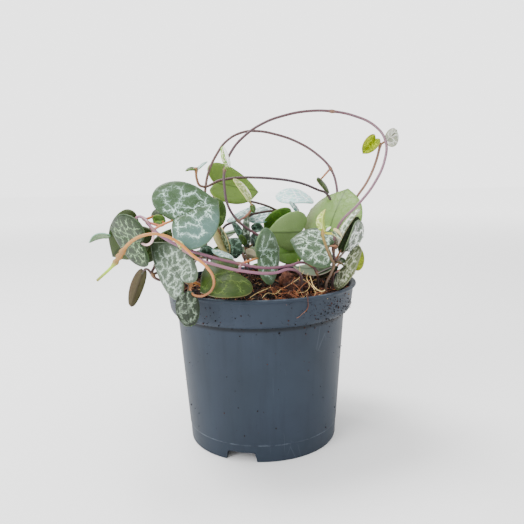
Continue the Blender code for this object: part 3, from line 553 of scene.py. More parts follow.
# Soil: a crumbly peat and coir mix, a little mounded, level with the rim; in mm
soilLooks = {
    "edgeZ": 49.3,
    "centreRise": 1.9,
    "rings": 46,
    "segments": 150,
    "roughness": 0.55,  # of the fine relief
    "dark": "#140e0c",
    "brown": "#1d140f",
    "red": "#482518",
    "straw": "#a38a60",
    "crumbsPerSquareMm": 0.85,
    "crumbSize": (0.22, 0.95),
    "seed": 5,
}


def soilHeight(x, y):
    # The same low mound as the solid's top, in mm from the pot's axis
    radius = math.hypot(x, y)
    rise = soilLooks["centreRise"] * (1.0 - (radius / 28.5) ** 2)
    lumps = 0.35 * math.sin(0.55 * x + 1.1) * math.cos(0.47 * y - 0.6)
    lumps += 0.22 * math.sin(1.05 * x - 0.8 * y + 2.0)
    return soilLooks["edgeZ"] + rise + lumps * min(1.0, (30.0 - radius) / 6.0)


def soilMaterial(name, attribute=None):
    # Peat crumbs and coir dust, loose: dull, near black with rusty and straw flecks; darker in the low
    # spots of its fine relief and paler on its crests, partly painted shade and light
    look = soilLooks
    material, tree, shader = newMaterial(name)
    where = addNode(tree, "ShaderNodeTexCoord").outputs["Object"]
    if attribute:
        mixer = addNode(tree, "ShaderNodeAttribute", attribute_name=attribute).outputs["Fac"]
    else:
        flecks = addNode(tree, "ShaderNodeTexVoronoi", {"Vector": where, "Scale": 1300.0})  # 0.8 mm grains
        mixer = addNode(tree, "ShaderNodeSeparateXYZ", {0: flecks.outputs["Color"]}).outputs["X"]
    ramp = addNode(tree, "ShaderNodeValToRGB", {"Fac": mixer})
    stops = ramp.color_ramp.elements
    stops[0].position = 0.0
    stops[0].color = linear(look["dark"])
    stops[1].position = 1.0
    stops[1].color = linear(look["straw"])
    for position, colour in ((0.5, "dark"), (0.74, "brown"), (0.9, "red"), (0.975, "red")):
        stops.new(position).color = linear(look[colour])
    fine = addNode(tree, "ShaderNodeTexNoise", {"Vector": where, "Scale": 1900.0, "Detail": 4.0})
    # Painted shade and light: the bump's own noise darkens the low spots and lightens the crests
    shade = addNode(tree, "ShaderNodeMapRange", {
        "Value": fine, "From Min": 0.25, "From Max": 0.75, "To Min": 0.35, "To Max": 1.3,
    })
    shaded = addNode(tree, "ShaderNodeMix", {
        0: 1.0, 6: ramp.outputs["Color"], 7: shade,
    }, data_type="RGBA", blend_type="MULTIPLY")
    bump = addNode(tree, "ShaderNodeBump", {"Height": fine, "Strength": 0.7, "Distance": 0.0003})
    setSockets(tree, shader, {
        "Base Color": shaded.outputs[2], "Roughness": 0.95, "Specular IOR Level": 0.2,
        "Normal": bump.outputs[0],
    })
    return material


def makeSoil():
    look, p = soilLooks, potLooks
    edge = p["bandTopRadius"] - p["wall"] - 0.33
    rings, count = look["rings"], look["segments"]
    verts = []
    for x, y in discSpots([edge * ((i + 1) / rings) for i in range(rings)], count):
        rough = noise.fractal(Vector((x * 0.55, y * 0.55, 3.0)), 0.7, 2.1, 4) * look["roughness"]
        fade = min(1.0, (edge - math.hypot(x, y)) / 1.5 + 0.25)
        verts.append((x, y, soilHeight(x, y) + rough * fade))
    below = [  # down the wall to the pot's floor
        (p["bandLowRadius"] - p["wall"] - 0.35, p["bandLowZ"] + 1.6),
        (p["bodyTopRadius"] - p["wall"] - 0.35, p["bandLowZ"] - 1.0),
        (p["footRadius"] - p["wall"] + 0.05, p["floorZ"] + 0.3),
    ]
    for radius, z in below:
        verts += [(x, y, z) for x, y in circle(radius, count)]
    faces = discFaces(rings + len(below), count)
    last = len(verts)
    verts.append((0.0, 0.0, p["floorZ"] + 0.3))
    faces += [(last - count + (k + 1) % count, last - count + k, last) for k in range(count)]
    soil = meshObject("soilBed", [Vector(np.array(v) + potAxis) * mm for v in verts], faces)
    outwards(soil.data)
    soil.data.materials.append(soilMaterial("peatAndCoirMix"))
    place(soil, "potting_soil", "soil")


def scattered(tree, given):
    # Points over the surface, denser where the surface's own weight says so
    weight = addNode(tree, "GeometryNodeInputNamedAttribute", {"Name": "scatter"}, data_type="FLOAT")
    density = addNode(tree, "ShaderNodeMath", {
        0: weight, 1: given.outputs["Density"],
    }, operation="MULTIPLY")
    return addNode(tree, "GeometryNodeDistributePointsOnFaces", {
        "Mesh": given.outputs["Geometry"], "Density": density, "Seed": given.outputs["Seed"],
    })


def toned(tree, instances):
    # Each one keeps a tone of its own for its colour, and becomes real
    tint = addNode(tree, "FunctionNodeRandomValue", {2: 0.0, 3: 1.0, "Seed": 11}, data_type="FLOAT")
    tinted = addNode(tree, "GeometryNodeStoreNamedAttribute", {
        "Geometry": instances, "Name": "crumbTone", "Value": tint.outputs[1],
    }, data_type="FLOAT", domain="INSTANCE")
    return addNode(tree, "GeometryNodeRealizeInstances", {"Geometry": tinted})


def shaken(tree, geometry, scale, detail, middle, reach):
    # Noise moves every point a little
    wander = addNode(tree, "ShaderNodeTexNoise", {
        "Vector": addNode(tree, "GeometryNodeInputPosition"), "Scale": scale, "Detail": detail,
    })
    shift = addNode(tree, "ShaderNodeVectorMath", {
        0: wander.outputs["Color"], 1: middle,
    }, operation="SUBTRACT")
    push = addNode(tree, "ShaderNodeVectorMath", {0: shift, "Scale": reach}, operation="SCALE")
    return addNode(tree, "GeometryNodeSetPosition", {"Geometry": geometry, "Offset": push})


def crumbTree():
    # Scatters small angular crumbs over a surface
    tree, given = newNodeTree("looseCrumbs", [
        ("Density", "Float"), ("Smallest", "Float"), ("Largest", "Float"), ("Lift", "Float"),
        ("Seed", "Int"), ("Material", "Material"),
    ])
    points = scattered(tree, given)
    rise = addNode(tree, "ShaderNodeVectorMath", {
        0: points.outputs["Normal"], "Scale": given.outputs["Lift"],
    }, operation="SCALE")
    lifted = addNode(tree, "GeometryNodeSetPosition", {"Geometry": points, "Offset": rise})
    crumb = addNode(tree, "GeometryNodeMeshIcoSphere", {"Radius": 1.0, "Subdivisions": 1})
    turn = addNode(tree, "FunctionNodeRandomValue", {
        0: (0.0, 0.0, 0.0), 1: (6.28, 6.28, 6.28), "Seed": given.outputs["Seed"],
    }, data_type="FLOAT_VECTOR")
    squash = addNode(tree, "FunctionNodeRandomValue", {
        0: (0.45, 0.35, 0.3), 1: (1.0, 0.8, 0.6), "Seed": 7,
    }, data_type="FLOAT_VECTOR")
    chance = addNode(tree, "FunctionNodeRandomValue", {2: 0.0, 3: 1.0, "Seed": 3}, data_type="FLOAT")
    small = addNode(tree, "ShaderNodeMath", {
        0: chance.outputs[1], 1: 2.6,
    }, operation="POWER")  # most are small
    size = addNode(tree, "ShaderNodeMapRange", {
        "Value": small, "To Min": given.outputs["Smallest"], "To Max": given.outputs["Largest"],
    })
    scale = addNode(tree, "ShaderNodeVectorMath", {0: squash, "Scale": size}, operation="SCALE")
    crumbs = addNode(tree, "GeometryNodeInstanceOnPoints", {
        "Points": lifted, "Instance": crumb, "Rotation": turn, "Scale": scale,
    })
    rough = shaken(tree, toned(tree, crumbs), 1800.0, 0.0, (0.5, 0.5, 0.5), 0.0004)
    endTree(tree, given, rough)
    return tree


def fibreTree():
    # Scatters bent coir fibres over a surface: short lines, laid flat, then bent by noise
    tree, given = newNodeTree("coirFibres", [
        ("Density", "Float"), ("Shortest", "Float"), ("Longest", "Float"), ("Thickness", "Float"),
        ("Bend", "Float"), ("Rise", "Float"), ("Seed", "Int"), ("Material", "Material"),
    ])
    line = addNode(tree, "GeometryNodeCurvePrimitiveLine", {
        "Start": (-0.5, 0.0, 0.0), "End": (0.5, 0.0, 0.0),
    })
    stepped = addNode(tree, "GeometryNodeResampleCurve", {"Curve": line, "Count": 12})
    low = addNode(tree, "ShaderNodeCombineXYZ", {"X": 0.0, "Y": -0.5, "Z": 0.0})
    high = addNode(tree, "ShaderNodeCombineXYZ", {"X": 0.0, "Y": given.outputs["Rise"], "Z": 6.28})
    turn = addNode(tree, "FunctionNodeRandomValue", {
        0: low, 1: high, "Seed": given.outputs["Seed"],
    }, data_type="FLOAT_VECTOR")
    reach = addNode(tree, "FunctionNodeRandomValue", {
        2: given.outputs["Shortest"], 3: given.outputs["Longest"], "Seed": 23,
    }, data_type="FLOAT")
    laid = addNode(tree, "GeometryNodeInstanceOnPoints", {
        "Points": scattered(tree, given), "Instance": stepped, "Rotation": turn, "Scale": reach.outputs[1],
    })
    bent = shaken(tree, toned(tree, laid), 330.0, 1.0, (0.5, 0.5, 0.42), given.outputs["Bend"])
    ring = addNode(tree, "GeometryNodeCurvePrimitiveCircle", {
        "Resolution": 4, "Radius": given.outputs["Thickness"],
    })
    tube = addNode(tree, "GeometryNodeCurveToMesh", {
        "Curve": bent, "Profile Curve": ring, "Fill Caps": True,
    })
    endTree(tree, given, tube)
    return tree


def topOfSoil(name, weigh):
    # A bare copy of the soil's top that carries how densely things lie on it
    count, rings = 72, 22
    edge = potLooks["bandTopRadius"] - potLooks["wall"] - 0.6
    spots = discSpots([edge * (i + 1) / rings for i in range(rings)], count)
    verts = [Vector(np.array((x, y, soilHeight(x, y))) + potAxis) * mm for x, y in spots]
    obj = meshObject(name, verts, discFaces(rings, count))
    storePoints(obj.data, "scatter", "FLOAT", [weigh(x, y) for x, y in spots])
    return obj


fibreLooks = {
    "tuftCentre": (12.5, -20.5),  # mm from the pot's axis: the front right, where the photo shows the tuft
    "tuftReach": (9.5, 6.0),
    "length": (1.8, 6.0),  # mm
    "thickness": 0.08,
    "red": "#56291a",
    "rust": "#a2623a",
    "straw": "#e6c684",
    "dark": "#1c100b",
    # how many on a square metre, how far they bend in metres, how steeply they rise, and the seed
    "loose": (0.17e6, 0.0035, 0.3, 17),
    "tuft": (2.1e6, 0.0068, 0.8, 18),
}


def fibreMaterial():
    # Coir, the coarse husk fibre of the coconut, retted and dried: dull, rusty to straw
    look = fibreLooks
    material, tree, shader = newMaterial("coirFibre")
    tone = addNode(tree, "ShaderNodeAttribute", attribute_name="crumbTone")
    ramp = addNode(tree, "ShaderNodeValToRGB", {"Fac": tone.outputs["Fac"]})
    stops = ramp.color_ramp.elements
    stops[0].color = linear(look["dark"])
    stops[1].color = linear(look["straw"])
    for position, colour in ((0.45, "red"), (0.72, "rust"), (0.88, "rust")):
        stops.new(position).color = linear(look[colour])
    where = addNode(tree, "ShaderNodeTexCoord").outputs["Object"]
    fine = addNode(tree, "ShaderNodeTexNoise", {"Vector": where, "Scale": 900.0, "Detail": 2.0})
    shade = addNode(tree, "ShaderNodeMapRange", {
        "Value": fine, "From Min": 0.3, "From Max": 0.7, "To Min": 0.6, "To Max": 1.25,
    })
    shaded = addNode(tree, "ShaderNodeMix", {
        0: 1.0, 6: ramp.outputs["Color"], 7: shade,
    }, data_type="RGBA", blend_type="MULTIPLY")
    setSockets(tree, shader, {
        "Base Color": shaded.outputs[2], "Roughness": 0.75,
    })
    return material


def everywhere(x, y):
    return 1.0


def tuftWeight(x, y):
    centre, reach = fibreLooks["tuftCentre"], fibreLooks["tuftReach"]
    far = ((x - centre[0]) / reach[0]) ** 2 + ((y - centre[1]) / reach[1]) ** 2
    return max(0.0, 1.0 - far)


def makeSoilDressing():
    look, fibres = soilLooks, fibreLooks
    crumbs = topOfSoil("soilCrumbs", everywhere)
    runNodes(crumbs, crumbTree(), {
        "Density": look["crumbsPerSquareMm"] * 1e6, "Smallest": look["crumbSize"][0] * mm,
        "Largest": look["crumbSize"][1] * mm, "Lift": 0.0001, "Seed": look["seed"],
        "Material": soilMaterial("peatCrumbs", "crumbTone"),
    })
    place(crumbs, "potting_soil")
    tree, material = fibreTree(), fibreMaterial()
    for name, row, weigh in (("looseCoir", "loose", everywhere), ("coirTuft", "tuft", tuftWeight)):
        density, bend, rise, seed = fibres[row]
        fibre = topOfSoil(name, weigh)
        runNodes(fibre, tree, {
            "Density": density, "Shortest": fibres["length"][0] * mm, "Longest": fibres["length"][1] * mm,
            "Thickness": fibres["thickness"] * mm, "Bend": bend, "Rise": rise, "Seed": seed,
            "Material": material,
        })
        place(fibre, "coir")
    return material


makeSoil()
coirMaterial = makeSoilDressing()
print("stage: soil")


# Lumps: a torn clump of husk fibre and a small pressed block on the soil at the front
lumpLooks = {
    # centre and reach in mm from the pot's axis; tones from the gaps, dark with painted shade, to the fibre
    # ends
    "coirLump": {
        "centre": (11.6, -17.0, 52.2), "reach": (4.1, 2.2, 2.2), "seed": 11, "detail": 5,
        "finish": "looseCoirPith", "tones": ("#100806", "#2a150e", "#5e3422"),
    },
    "pithBlock": {
        "centre": (7.9, -12.4, 53.2), "reach": (2.1, 1.6, 2.6), "seed": 4, "detail": 4,
        "finish": "pressedCoirPith", "tones": ("#2a150d", "#60382a", "#8f5c40"),
    },
}


def lumpMaterial(name, tones):
    # Coir pith: crumbly, rusty, with paler fibre ends; its gaps, low on the bump's own noise, are darker
    # with painted shade
    material, tree, shader = newMaterial(name)
    where = addNode(tree, "ShaderNodeTexCoord").outputs["Object"]
    pith = addNode(tree, "ShaderNodeTexNoise", {
        "Vector": where, "Scale": 900.0, "Detail": 5.0, "Roughness": 0.65,
    })
    # Painted shade: the darkest tone falls where the bump's noise is lowest, in the gaps
    ramp = addNode(tree, "ShaderNodeValToRGB", {"Fac": pith})
    stops = ramp.color_ramp.elements
    stops[0].position, stops[1].position = 0.3, 0.72
    stops[0].color, stops[1].color = linear(tones[0]), linear(tones[2])
    stops.new(0.5).color = linear(tones[1])
    bump = addNode(tree, "ShaderNodeBump", {"Height": pith, "Strength": 1.0, "Distance": 0.0006})
    setSockets(tree, shader, {
        "Base Color": ramp.outputs["Color"], "Roughness": 0.9, "Normal": bump.outputs[0],
    })
    return material


def makeLump(name, *nodes):
    look = lumpLooks[name]
    bm = bmesh.new()
    bmesh.ops.create_icosphere(bm, subdivisions=look["detail"], radius=1.0)
    for vert in bm.verts:
        point = vert.co.copy()
        push = 1.0 + 0.30 * noise.fractal(point * 1.6 + Vector((look["seed"], 0, 0)), 0.8, 2.2, 4)
        push += 0.14 * noise.noise(point * 6.0)
        x, y, z = (point[i] * look["reach"][i] * push + look["centre"][i] for i in range(3))
        vert.co = Vector((x, y, max(z, soilHeight(x, y) - 0.4)))
    mesh = bpy.data.meshes.new(name)
    bm.to_mesh(mesh)
    bm.free()
    mesh.transform(Matrix.Diagonal((mm, mm, mm, 1.0)))
    mesh.transform(Matrix.Translation(Vector(potAxis) * mm))
    mesh.materials.append(lumpMaterial(look["finish"], look["tones"]))
    place(newObject(name, mesh), "coir", *nodes)


makeLump("coirLump", "coir_lump")
makeLump("pithBlock")
print("stage: coir lump")


# Plant: paired heart leaves on wiry stems, from the same routes as the solids; in mm
plantLooks = {
    "stemRadius": 0.42,
    "stalkRadius": 0.36,
    "stemFootZ": 41.5,
    "stemClearZ": 52.6,
    "stepsPerPoint": 7,
    "stemSides": 10,
    "knotSwelling": 0.5,  # of the radius
    "knotReach": 0.75,
    "knotColour": "#89663d",
    "knotPale": 0.6,
    "bladeThickness": (0.5, 0.045),  # and so much for each mm of width
    "ribReach": 0.35,
    "outlineSteps": 4,
    "rings": (0.16, 0.32, 0.48, 0.62, 0.75, 0.86, 0.93, 0.975),
    "waviness": 0.02,  # of the width
}
heartHalf = ((0.16, -0.13), (0.50, -0.27), (0.83, -0.16), (1.00, 0.18), (0.93, 0.66), (0.60, 1.14))
ovalHalf = ((0.26, -0.07), (0.66, 0.06), (0.93, 0.38), (1.00, 0.78), (0.84, 1.17), (0.48, 1.46))
heartLength = 1.55
heartCentre = 0.42

# green and sage: the cells' two greens; net: the silver; under: the underside; rim: the leaf's edge
# cell and line: the net's size in mm; fine: how much speckle; bloom: how much silver haze
# margin: where the plain border begins, as a part of the way from the middle to the edge
leafColumns = ("green", "sage", "net", "under", "rim", "cell", "line", "fine", "bloom", "margin")
leafRows = {
    "faint": ("#13230a", "#1e3112", "#93b486", "#4d6636", "#3f5536", 2.6, 0.17, 0.22, 0.04, 0.86),
    "dusty": ("#343c20", "#4a5434", "#c4caae", "#5d6840", "#6f7256", 2.4, 0.22, 0.8, 0.28, 0.92),
    "frosted": ("#303c28", "#4b5a45", "#f4fbf4", "#64794e", "#6b7a61", 2.8, 0.26, 0.9, 0.36, 0.9),
    # ice: a silver leaf's colour raised to near white, a painted highlight on the upturned leaf
    "ice": ("#8cc2be", "#b2e0dc", "#ffffff", "#86aca2", "#c6ebe6", 2.6, 0.2, 0.7, 0.4, 0.97),
    "speckled": ("#868b76", "#a8ad98", "#fbfbf4", "#7f8a68", "#7d7656", 2.2, 0.2, 0.8, 0.5, 0.95),
    "night": ("#26340f", "#2f4015", "#5d6f3f", "#2d3c12", "#434f20", 3.4, 0.16, 0.04, 0.06, 0.92),
    "silver": ("#3a5031", "#495f46", "#c6e6d6", "#68844a", "#566f50", 4.0, 0.19, 0.25, 0.16, 0.82),
    "silverBlue": ("#33492a", "#41583c", "#c9e9de", "#68844a", "#566f50", 4.4, 0.18, 0.3, 0.18, 0.82),
    "bold": ("#344630", "#43563e", "#cfe6d4", "#68844a", "#55724e", 3.0, 0.19, 0.45, 0.18, 0.88),
    # dim: a darkened copy of the netted kinds for a leaf that lies in shadow: painted shade
    "dim": ("#182014", "#232d20", "#7a8b77", "#35432b", "#35432e", 2.6, 0.22, 0.45, 0.25, 0.88),
    "mottled": ("#3b4739", "#4c5c49", "#c9ddcd", "#64794e", "#5f6e55", 2.6, 0.22, 0.7, 0.3, 0.9),
    "shaded": ("#3b4739", "#4c5c49", "#b4c9b8", "#64794e", "#5f6e55", 2.6, 0.15, 0.9, 0.36, 0.9),
    "frost": ("#4c7069", "#6d968f", "#e6f4f1", "#637f58", "#8fbaaa", 2.4, 0.24, 0.6, 0.4, 0.97),
    "green": ("#24360a", "#32440e", "#5b7030", "#566d35", "#55522a", 4.2, 0.2, 0.06, 0.04, 0.9),
    "leafy": ("#466420", "#52762a", "#566f38", "#62783a", "#52602c", 3.4, 0.16, 0.04, 0.06, 0.92),
    "olive": ("#2c4317", "#3d581f", "#5c7439", "#4a5c24", "#56642f", 3.4, 0.2, 0.06, 0.08, 0.92),
    "sage": ("#3b5639", "#4e6e53", "#bef7d1", "#6b8a43", "#6e904f", 3.6, 0.36, 0.3, 0.3, 0.86),
    "fern": ("#3b5639", "#4e6e53", "#bef7d1", "#728c54", "#6e904f", 3.6, 0.36, 0.3, 0.3, 0.86),
    "moss": ("#33511c", "#446326", "#7fad3d", "#5f7b2c", "#7c8c3f", 3.8, 0.2, 0.06, 0.1, 0.92),
    "fleshy": ("#4b6c2a", "#648a38", "#7fad3d", "#648a3a", "#5f7a35", 3.8, 0.16, 0.05, 0.08, 0.92),
    "grey": ("#384d3c", "#5f6f60", "#e3f7de", "#727f68", "#99827b", 2.6, 0.32, 0.8, 0.4, 0.93),
    # shade: dark teal-green with a faint net, painted shade for small leaves in the shadow of the others
    "shade": ("#25382b", "#374d3f", "#86a896", "#33452c", "#3f5643", 2.4, 0.14, 0.3, 0.2, 0.95),
    # deep: near black-green, painted shade for leaves and a fold's inside that lie in deep shadow
    "deep": ("#1b280d", "#243410", "#30461c", "#17210c", "#20301a", 2.2, 0.16, 0.05, 0.1, 0.95),
    "blush": ("#4d5c48", "#728468", "#e3f0d8", "#8a8a72", "#8f7f6d", 2.0, 0.24, 0.7, 0.4, 0.95),
    "mauve": ("#6f6a63", "#858079", "#b5aeae", "#2b2f20", "#94898a", 2.4, 0.2, 0.4, 0.2, 0.97),
    "dusky": ("#263617", "#33431f", "#5d6f3f", "#48472a", "#45312b", 3.2, 0.16, 0.08, 0.1, 0.9),
    "rose": ("#46675c", "#79b3a0", "#f7f7f7", "#9b937a", "#947067", 2.0, 0.4, 0.7, 0.6, 0.95),
    "lime": ("#6b7d02", "#8a9600", "#b9cc10", "#737f12", "#9c7b49", 2.2, 0.14, 0.05, 0.2, 0.95),
    "young": ("#5f9a24", "#84b844", "#f7f7d0", "#6fae1c", "#7fbf3f", 1.6, 0.24, 0.5, 0.4, 0.97),
    "cream": ("#3b4f35", "#51664a", "#c9d8c0", "#b5a35c", "#cfc389", 1.8, 0.24, 0.5, 0.4, 0.97),
    "pale": ("#708339", "#97a45a", "#dfe6b0", "#92a04c", "#cfcf8a", 1.8, 0.2, 0.3, 0.4, 0.97),
    "bud": ("#8fa83e", "#adbf55", "#e6f0a8", "#93a840", "#c2c86a", 1.4, 0.2, 0.3, 0.4, 0.97),
}
# Another colour from here to there in mm, and how much: across the blade or along it; cells: under the net
leafTints = {
    # silverBlue: the blue-grey tint under the net on one half is a painted sheen
    "silverBlue": {"cells": ("#567570", 1.0, 6.0, 0.7)},
    # shaded: the dark part along this leaf is painted shadow from the leaves above it
    "shaded": {"along": ("#273520", 9.0, 13.0, 0.8)},
    "sage": {"across": ("#64664e", 4.5, 9.0, 0.7)},
    "blush": {"along": ("#9a8577", 6.0, 1.0, 0.8)},
    "dusky": {"across": ("#4b3c2a", 1.7, -1.8, 0.8)},
    "young": {"across": ("#ffffff", -0.2, 0.3, 0.9)},
    "cream": {"across": ("#d7c88c", 0.2, -0.6, 0.9)},
    "pale": {"across": ("#f4f7dc", 1.2, 2.1, 0.85)},
    "bud": {"along": ("#a5804a", 3.9, 5.4, 0.5)},
}
leafKinds = {kind: dict(zip(leafColumns, row)) for kind, row in leafRows.items()}


def leafMaterial(kind):
    # Fleshy leaf blade, thinly waxed: soft gloss, a silver net over green cells, a plain underside
    look, tints = leafKinds[kind], leafTints.get(kind, {})
    material, tree, shader = newMaterial("waxyLeaf_" + kind)
    spot = addNode(tree, "ShaderNodeAttribute", attribute_name="leafPlace").outputs["Vector"]
    axes = addNode(tree, "ShaderNodeSeparateXYZ", {0: spot})
    form = addNode(tree, "ShaderNodeAttribute", attribute_name="leafForm").outputs["Vector"]
    shape = addNode(tree, "ShaderNodeSeparateXYZ", {0: form})
    seedX = addNode(tree, "ShaderNodeMath", {
        0: axes.outputs["Z"], 1: 17.3, 2: axes.outputs["X"],
    }, operation="MULTIPLY_ADD")
    seedY = addNode(tree, "ShaderNodeMath", {
        0: axes.outputs["Z"], 1: 9.7, 2: axes.outputs["Y"],
    }, operation="MULTIPLY_ADD")
    own = addNode(tree, "ShaderNodeCombineXYZ", {"X": seedX, "Y": seedY})
    warp = addNode(tree, "ShaderNodeTexNoise", {"Vector": own, "Scale": 0.4, "Detail": 2.0})
    offset = addNode(tree, "ShaderNodeVectorMath", {
        0: warp.outputs["Color"], 1: (0.5, 0.5, 0.5),
    }, operation="SUBTRACT")
    swayed = addNode(tree, "ShaderNodeVectorMath", {
        0: offset, 1: (3.0, 3.0, 0.0), 2: own,
    }, operation="MULTIPLY_ADD")
    wiggle = addNode(tree, "ShaderNodeTexNoise", {
        "Vector": own, "Scale": 1.7, "Detail": 3.0, "Roughness": 0.65,
    })
    jag = addNode(tree, "ShaderNodeVectorMath", {
        0: wiggle.outputs["Color"], 1: (0.5, 0.5, 0.5),
    }, operation="SUBTRACT")
    bent = addNode(tree, "ShaderNodeVectorMath", {
        0: jag, 1: (1.1, 1.1, 0.0), 2: swayed,
    }, operation="MULTIPLY_ADD")
    # The net's lines thin out and break, as the air-filled patches do
    breaks = addNode(tree, "ShaderNodeTexNoise", {"Vector": own, "Scale": 0.55, "Detail": 3.0})
    kept = addNode(tree, "ShaderNodeMapRange", {
        "Value": breaks, "From Min": 0.30, "From Max": 0.52, "To Min": 0.2,
    })
    cells = addNode(tree, "ShaderNodeTexVoronoi", {
        "Vector": bent, "Scale": 1.0 / look["cell"], "Randomness": 1.0,
    }, voronoi_dimensions="2D", feature="DISTANCE_TO_EDGE")
    lineReach = addNode(tree, "ShaderNodeMath", {
        0: kept, 1: look["line"] * 0.6 / look["cell"], 2: look["line"] * 0.4 / look["cell"],
    }, operation="MULTIPLY_ADD")
    line = addNode(tree, "ShaderNodeMapRange", {
        "Value": cells, "From Min": 0.0, "From Max": lineReach, "To Min": 1.0, "To Max": 0.0,
    }, interpolation_type="SMOOTHSTEP")
    haze = addNode(tree, "ShaderNodeMapRange", {
        "Value": cells, "From Min": 0.0, "From Max": 0.26, "To Min": look["bloom"], "To Max": 0.0,
    }, interpolation_type="SMOOTHSTEP")
    # Short side branches: a finer net, kept only beside the main lines
    twigs = addNode(tree, "ShaderNodeTexVoronoi", {
        "Vector": bent, "Scale": 2.7 / look["cell"], "Randomness": 1.0,
    }, voronoi_dimensions="2D", feature="DISTANCE_TO_EDGE")
    twig = addNode(tree, "ShaderNodeMapRange", {
        "Value": twigs, "From Min": 0.0, "From Max": look["line"] * 2.2 / look["cell"],
        "To Min": 0.85, "To Max": 0.0,
    }, interpolation_type="SMOOTHSTEP")
    beside = addNode(tree, "ShaderNodeMapRange", {
        "Value": cells, "From Min": 0.04, "From Max": 0.28, "To Min": 1.0, "To Max": 0.08,
    }, interpolation_type="SMOOTHSTEP")
    sparse = addNode(tree, "ShaderNodeMapRange", {"Value": wiggle, "From Min": 0.40, "From Max": 0.50})
    twigHere = addNode(tree, "ShaderNodeMath", {0: beside, 1: sparse}, operation="MULTIPLY")
    branches = addNode(tree, "ShaderNodeMath", {0: twig, 1: twigHere}, operation="MULTIPLY")
    # Main veins: rays from the notch, bent by the same noise, fading outwards
    centred = addNode(tree, "ShaderNodeVectorMath", {
        0: offset, 1: (2.4, 2.4, 0.0), 2: spot,
    }, operation="MULTIPLY_ADD")
    ray = addNode(tree, "ShaderNodeSeparateXYZ", {0: centred})
    across = addNode(tree, "ShaderNodeMath", {0: ray.outputs["X"]}, operation="ABSOLUTE")
    angle = addNode(tree, "ShaderNodeMath", {0: across, 1: ray.outputs["Y"]}, operation="ARCTAN2")
    turns = addNode(tree, "ShaderNodeMath", {0: angle, 1: math.radians(43)}, operation="DIVIDE")
    fromRay = addNode(tree, "ShaderNodeMath", {0: turns, 1: 0.5}, operation="PINGPONG")
    length = addNode(tree, "ShaderNodeVectorMath", {0: centred}, operation="LENGTH")
    wide = addNode(tree, "ShaderNodeMath", {0: fromRay, 1: length.outputs["Value"]}, operation="MULTIPLY")
    rays = addNode(tree, "ShaderNodeMapRange", {
        "Value": wide, "From Min": 0.0, "From Max": look["line"], "To Min": 0.95, "To Max": 0.0,
    }, interpolation_type="SMOOTHSTEP")
    outwardFade = addNode(tree, "ShaderNodeMapRange", {
        "Value": length.outputs["Value"], "From Min": 3.0, "From Max": 11.0, "To Min": 1.0, "To Max": 0.15,
    })
    veins = addNode(tree, "ShaderNodeMath", {0: rays, 1: outwardFade}, operation="MULTIPLY")
    lineKept = addNode(tree, "ShaderNodeMath", {0: line, 1: kept}, operation="MULTIPLY")
    net = addNode(tree, "ShaderNodeMath", {0: lineKept, 1: veins}, operation="MAXIMUM")
    broken = addNode(tree, "ShaderNodeMath", {0: net, 1: branches}, operation="MAXIMUM")
    dust = addNode(tree, "ShaderNodeTexNoise", {
        "Vector": own, "Scale": 3.6, "Detail": 3.0, "Roughness": 0.7,
    })
    fleck = addNode(tree, "ShaderNodeMapRange", {
        "Value": dust, "From Min": 0.50, "From Max": 0.68, "To Max": look["fine"],
    })
    hazeFleck = addNode(tree, "ShaderNodeMath", {0: haze, 1: 0.25}, operation="ADD")
    spread = addNode(tree, "ShaderNodeMath", {0: fleck, 1: hazeFleck}, operation="MULTIPLY")
    halo = addNode(tree, "ShaderNodeMath", {0: haze, 1: 0.45}, operation="MULTIPLY")
    silverA = addNode(tree, "ShaderNodeMath", {0: broken, 1: spread}, operation="ADD")
    silverB = addNode(tree, "ShaderNodeMath", {0: silverA, 1: halo}, operation="ADD", use_clamp=True)
    edge = addNode(tree, "ShaderNodeMath", {
        0: wiggle, 1: 0.2, 2: shape.outputs["X"],
    }, operation="MULTIPLY_ADD")
    inside = addNode(tree, "ShaderNodeMapRange", {
        "Value": edge, "From Min": look["margin"], "From Max": look["margin"] + 0.16,
        "To Min": 1.0, "To Max": 0.08,
    }, interpolation_type="SMOOTHSTEP")
    silver = addNode(tree, "ShaderNodeMath", {0: silverB, 1: inside}, operation="MULTIPLY")
    patch = addNode(tree, "ShaderNodeTexNoise", {"Vector": own, "Scale": 0.22, "Detail": 4.0})
    greens = addNode(tree, "ShaderNodeMapRange", {"Value": patch, "From Min": 0.35, "From Max": 0.65})
    base = addNode(tree, "ShaderNodeMix", {
        0: greens, 6: look["green"], 7: look["sage"],
    }, data_type="RGBA")
    def tinted(surface, key, axis):
        if key not in tints:
            return surface
        colour, near, far, most = tints[key]
        patchy = addNode(tree, "ShaderNodeMath", {
            0: warp, 1: 1.4, 2: axes.outputs[axis],
        }, operation="MULTIPLY_ADD")
        there = addNode(tree, "ShaderNodeMapRange", {
            "Value": patchy, "From Min": near + 0.7, "From Max": far + 0.7, "To Max": most,
        })
        return addNode(tree, "ShaderNodeMix", {
            0: there, 6: surface.outputs[2], 7: colour,
        }, data_type="RGBA")

    base = tinted(base, "cells", "X")
    netted = addNode(tree, "ShaderNodeMix", {
        0: silver, 6: base.outputs[2], 7: look["net"],
    }, data_type="RGBA")
    netted = tinted(tinted(netted, "across", "X"), "along", "Y")
    off = addNode(tree, "ShaderNodeMath", {0: axes.outputs["X"]}, operation="ABSOLUTE")
    midrib = addNode(tree, "ShaderNodeMapRange", {
        "Value": off, "From Min": 0.05, "From Max": 0.26, "To Min": 0.75, "To Max": 0.0,
    }, interpolation_type="SMOOTHSTEP")
    top = addNode(tree, "ShaderNodeMix", {
        0: midrib, 6: netted.outputs[2], 7: look["green"],
    }, data_type="RGBA")
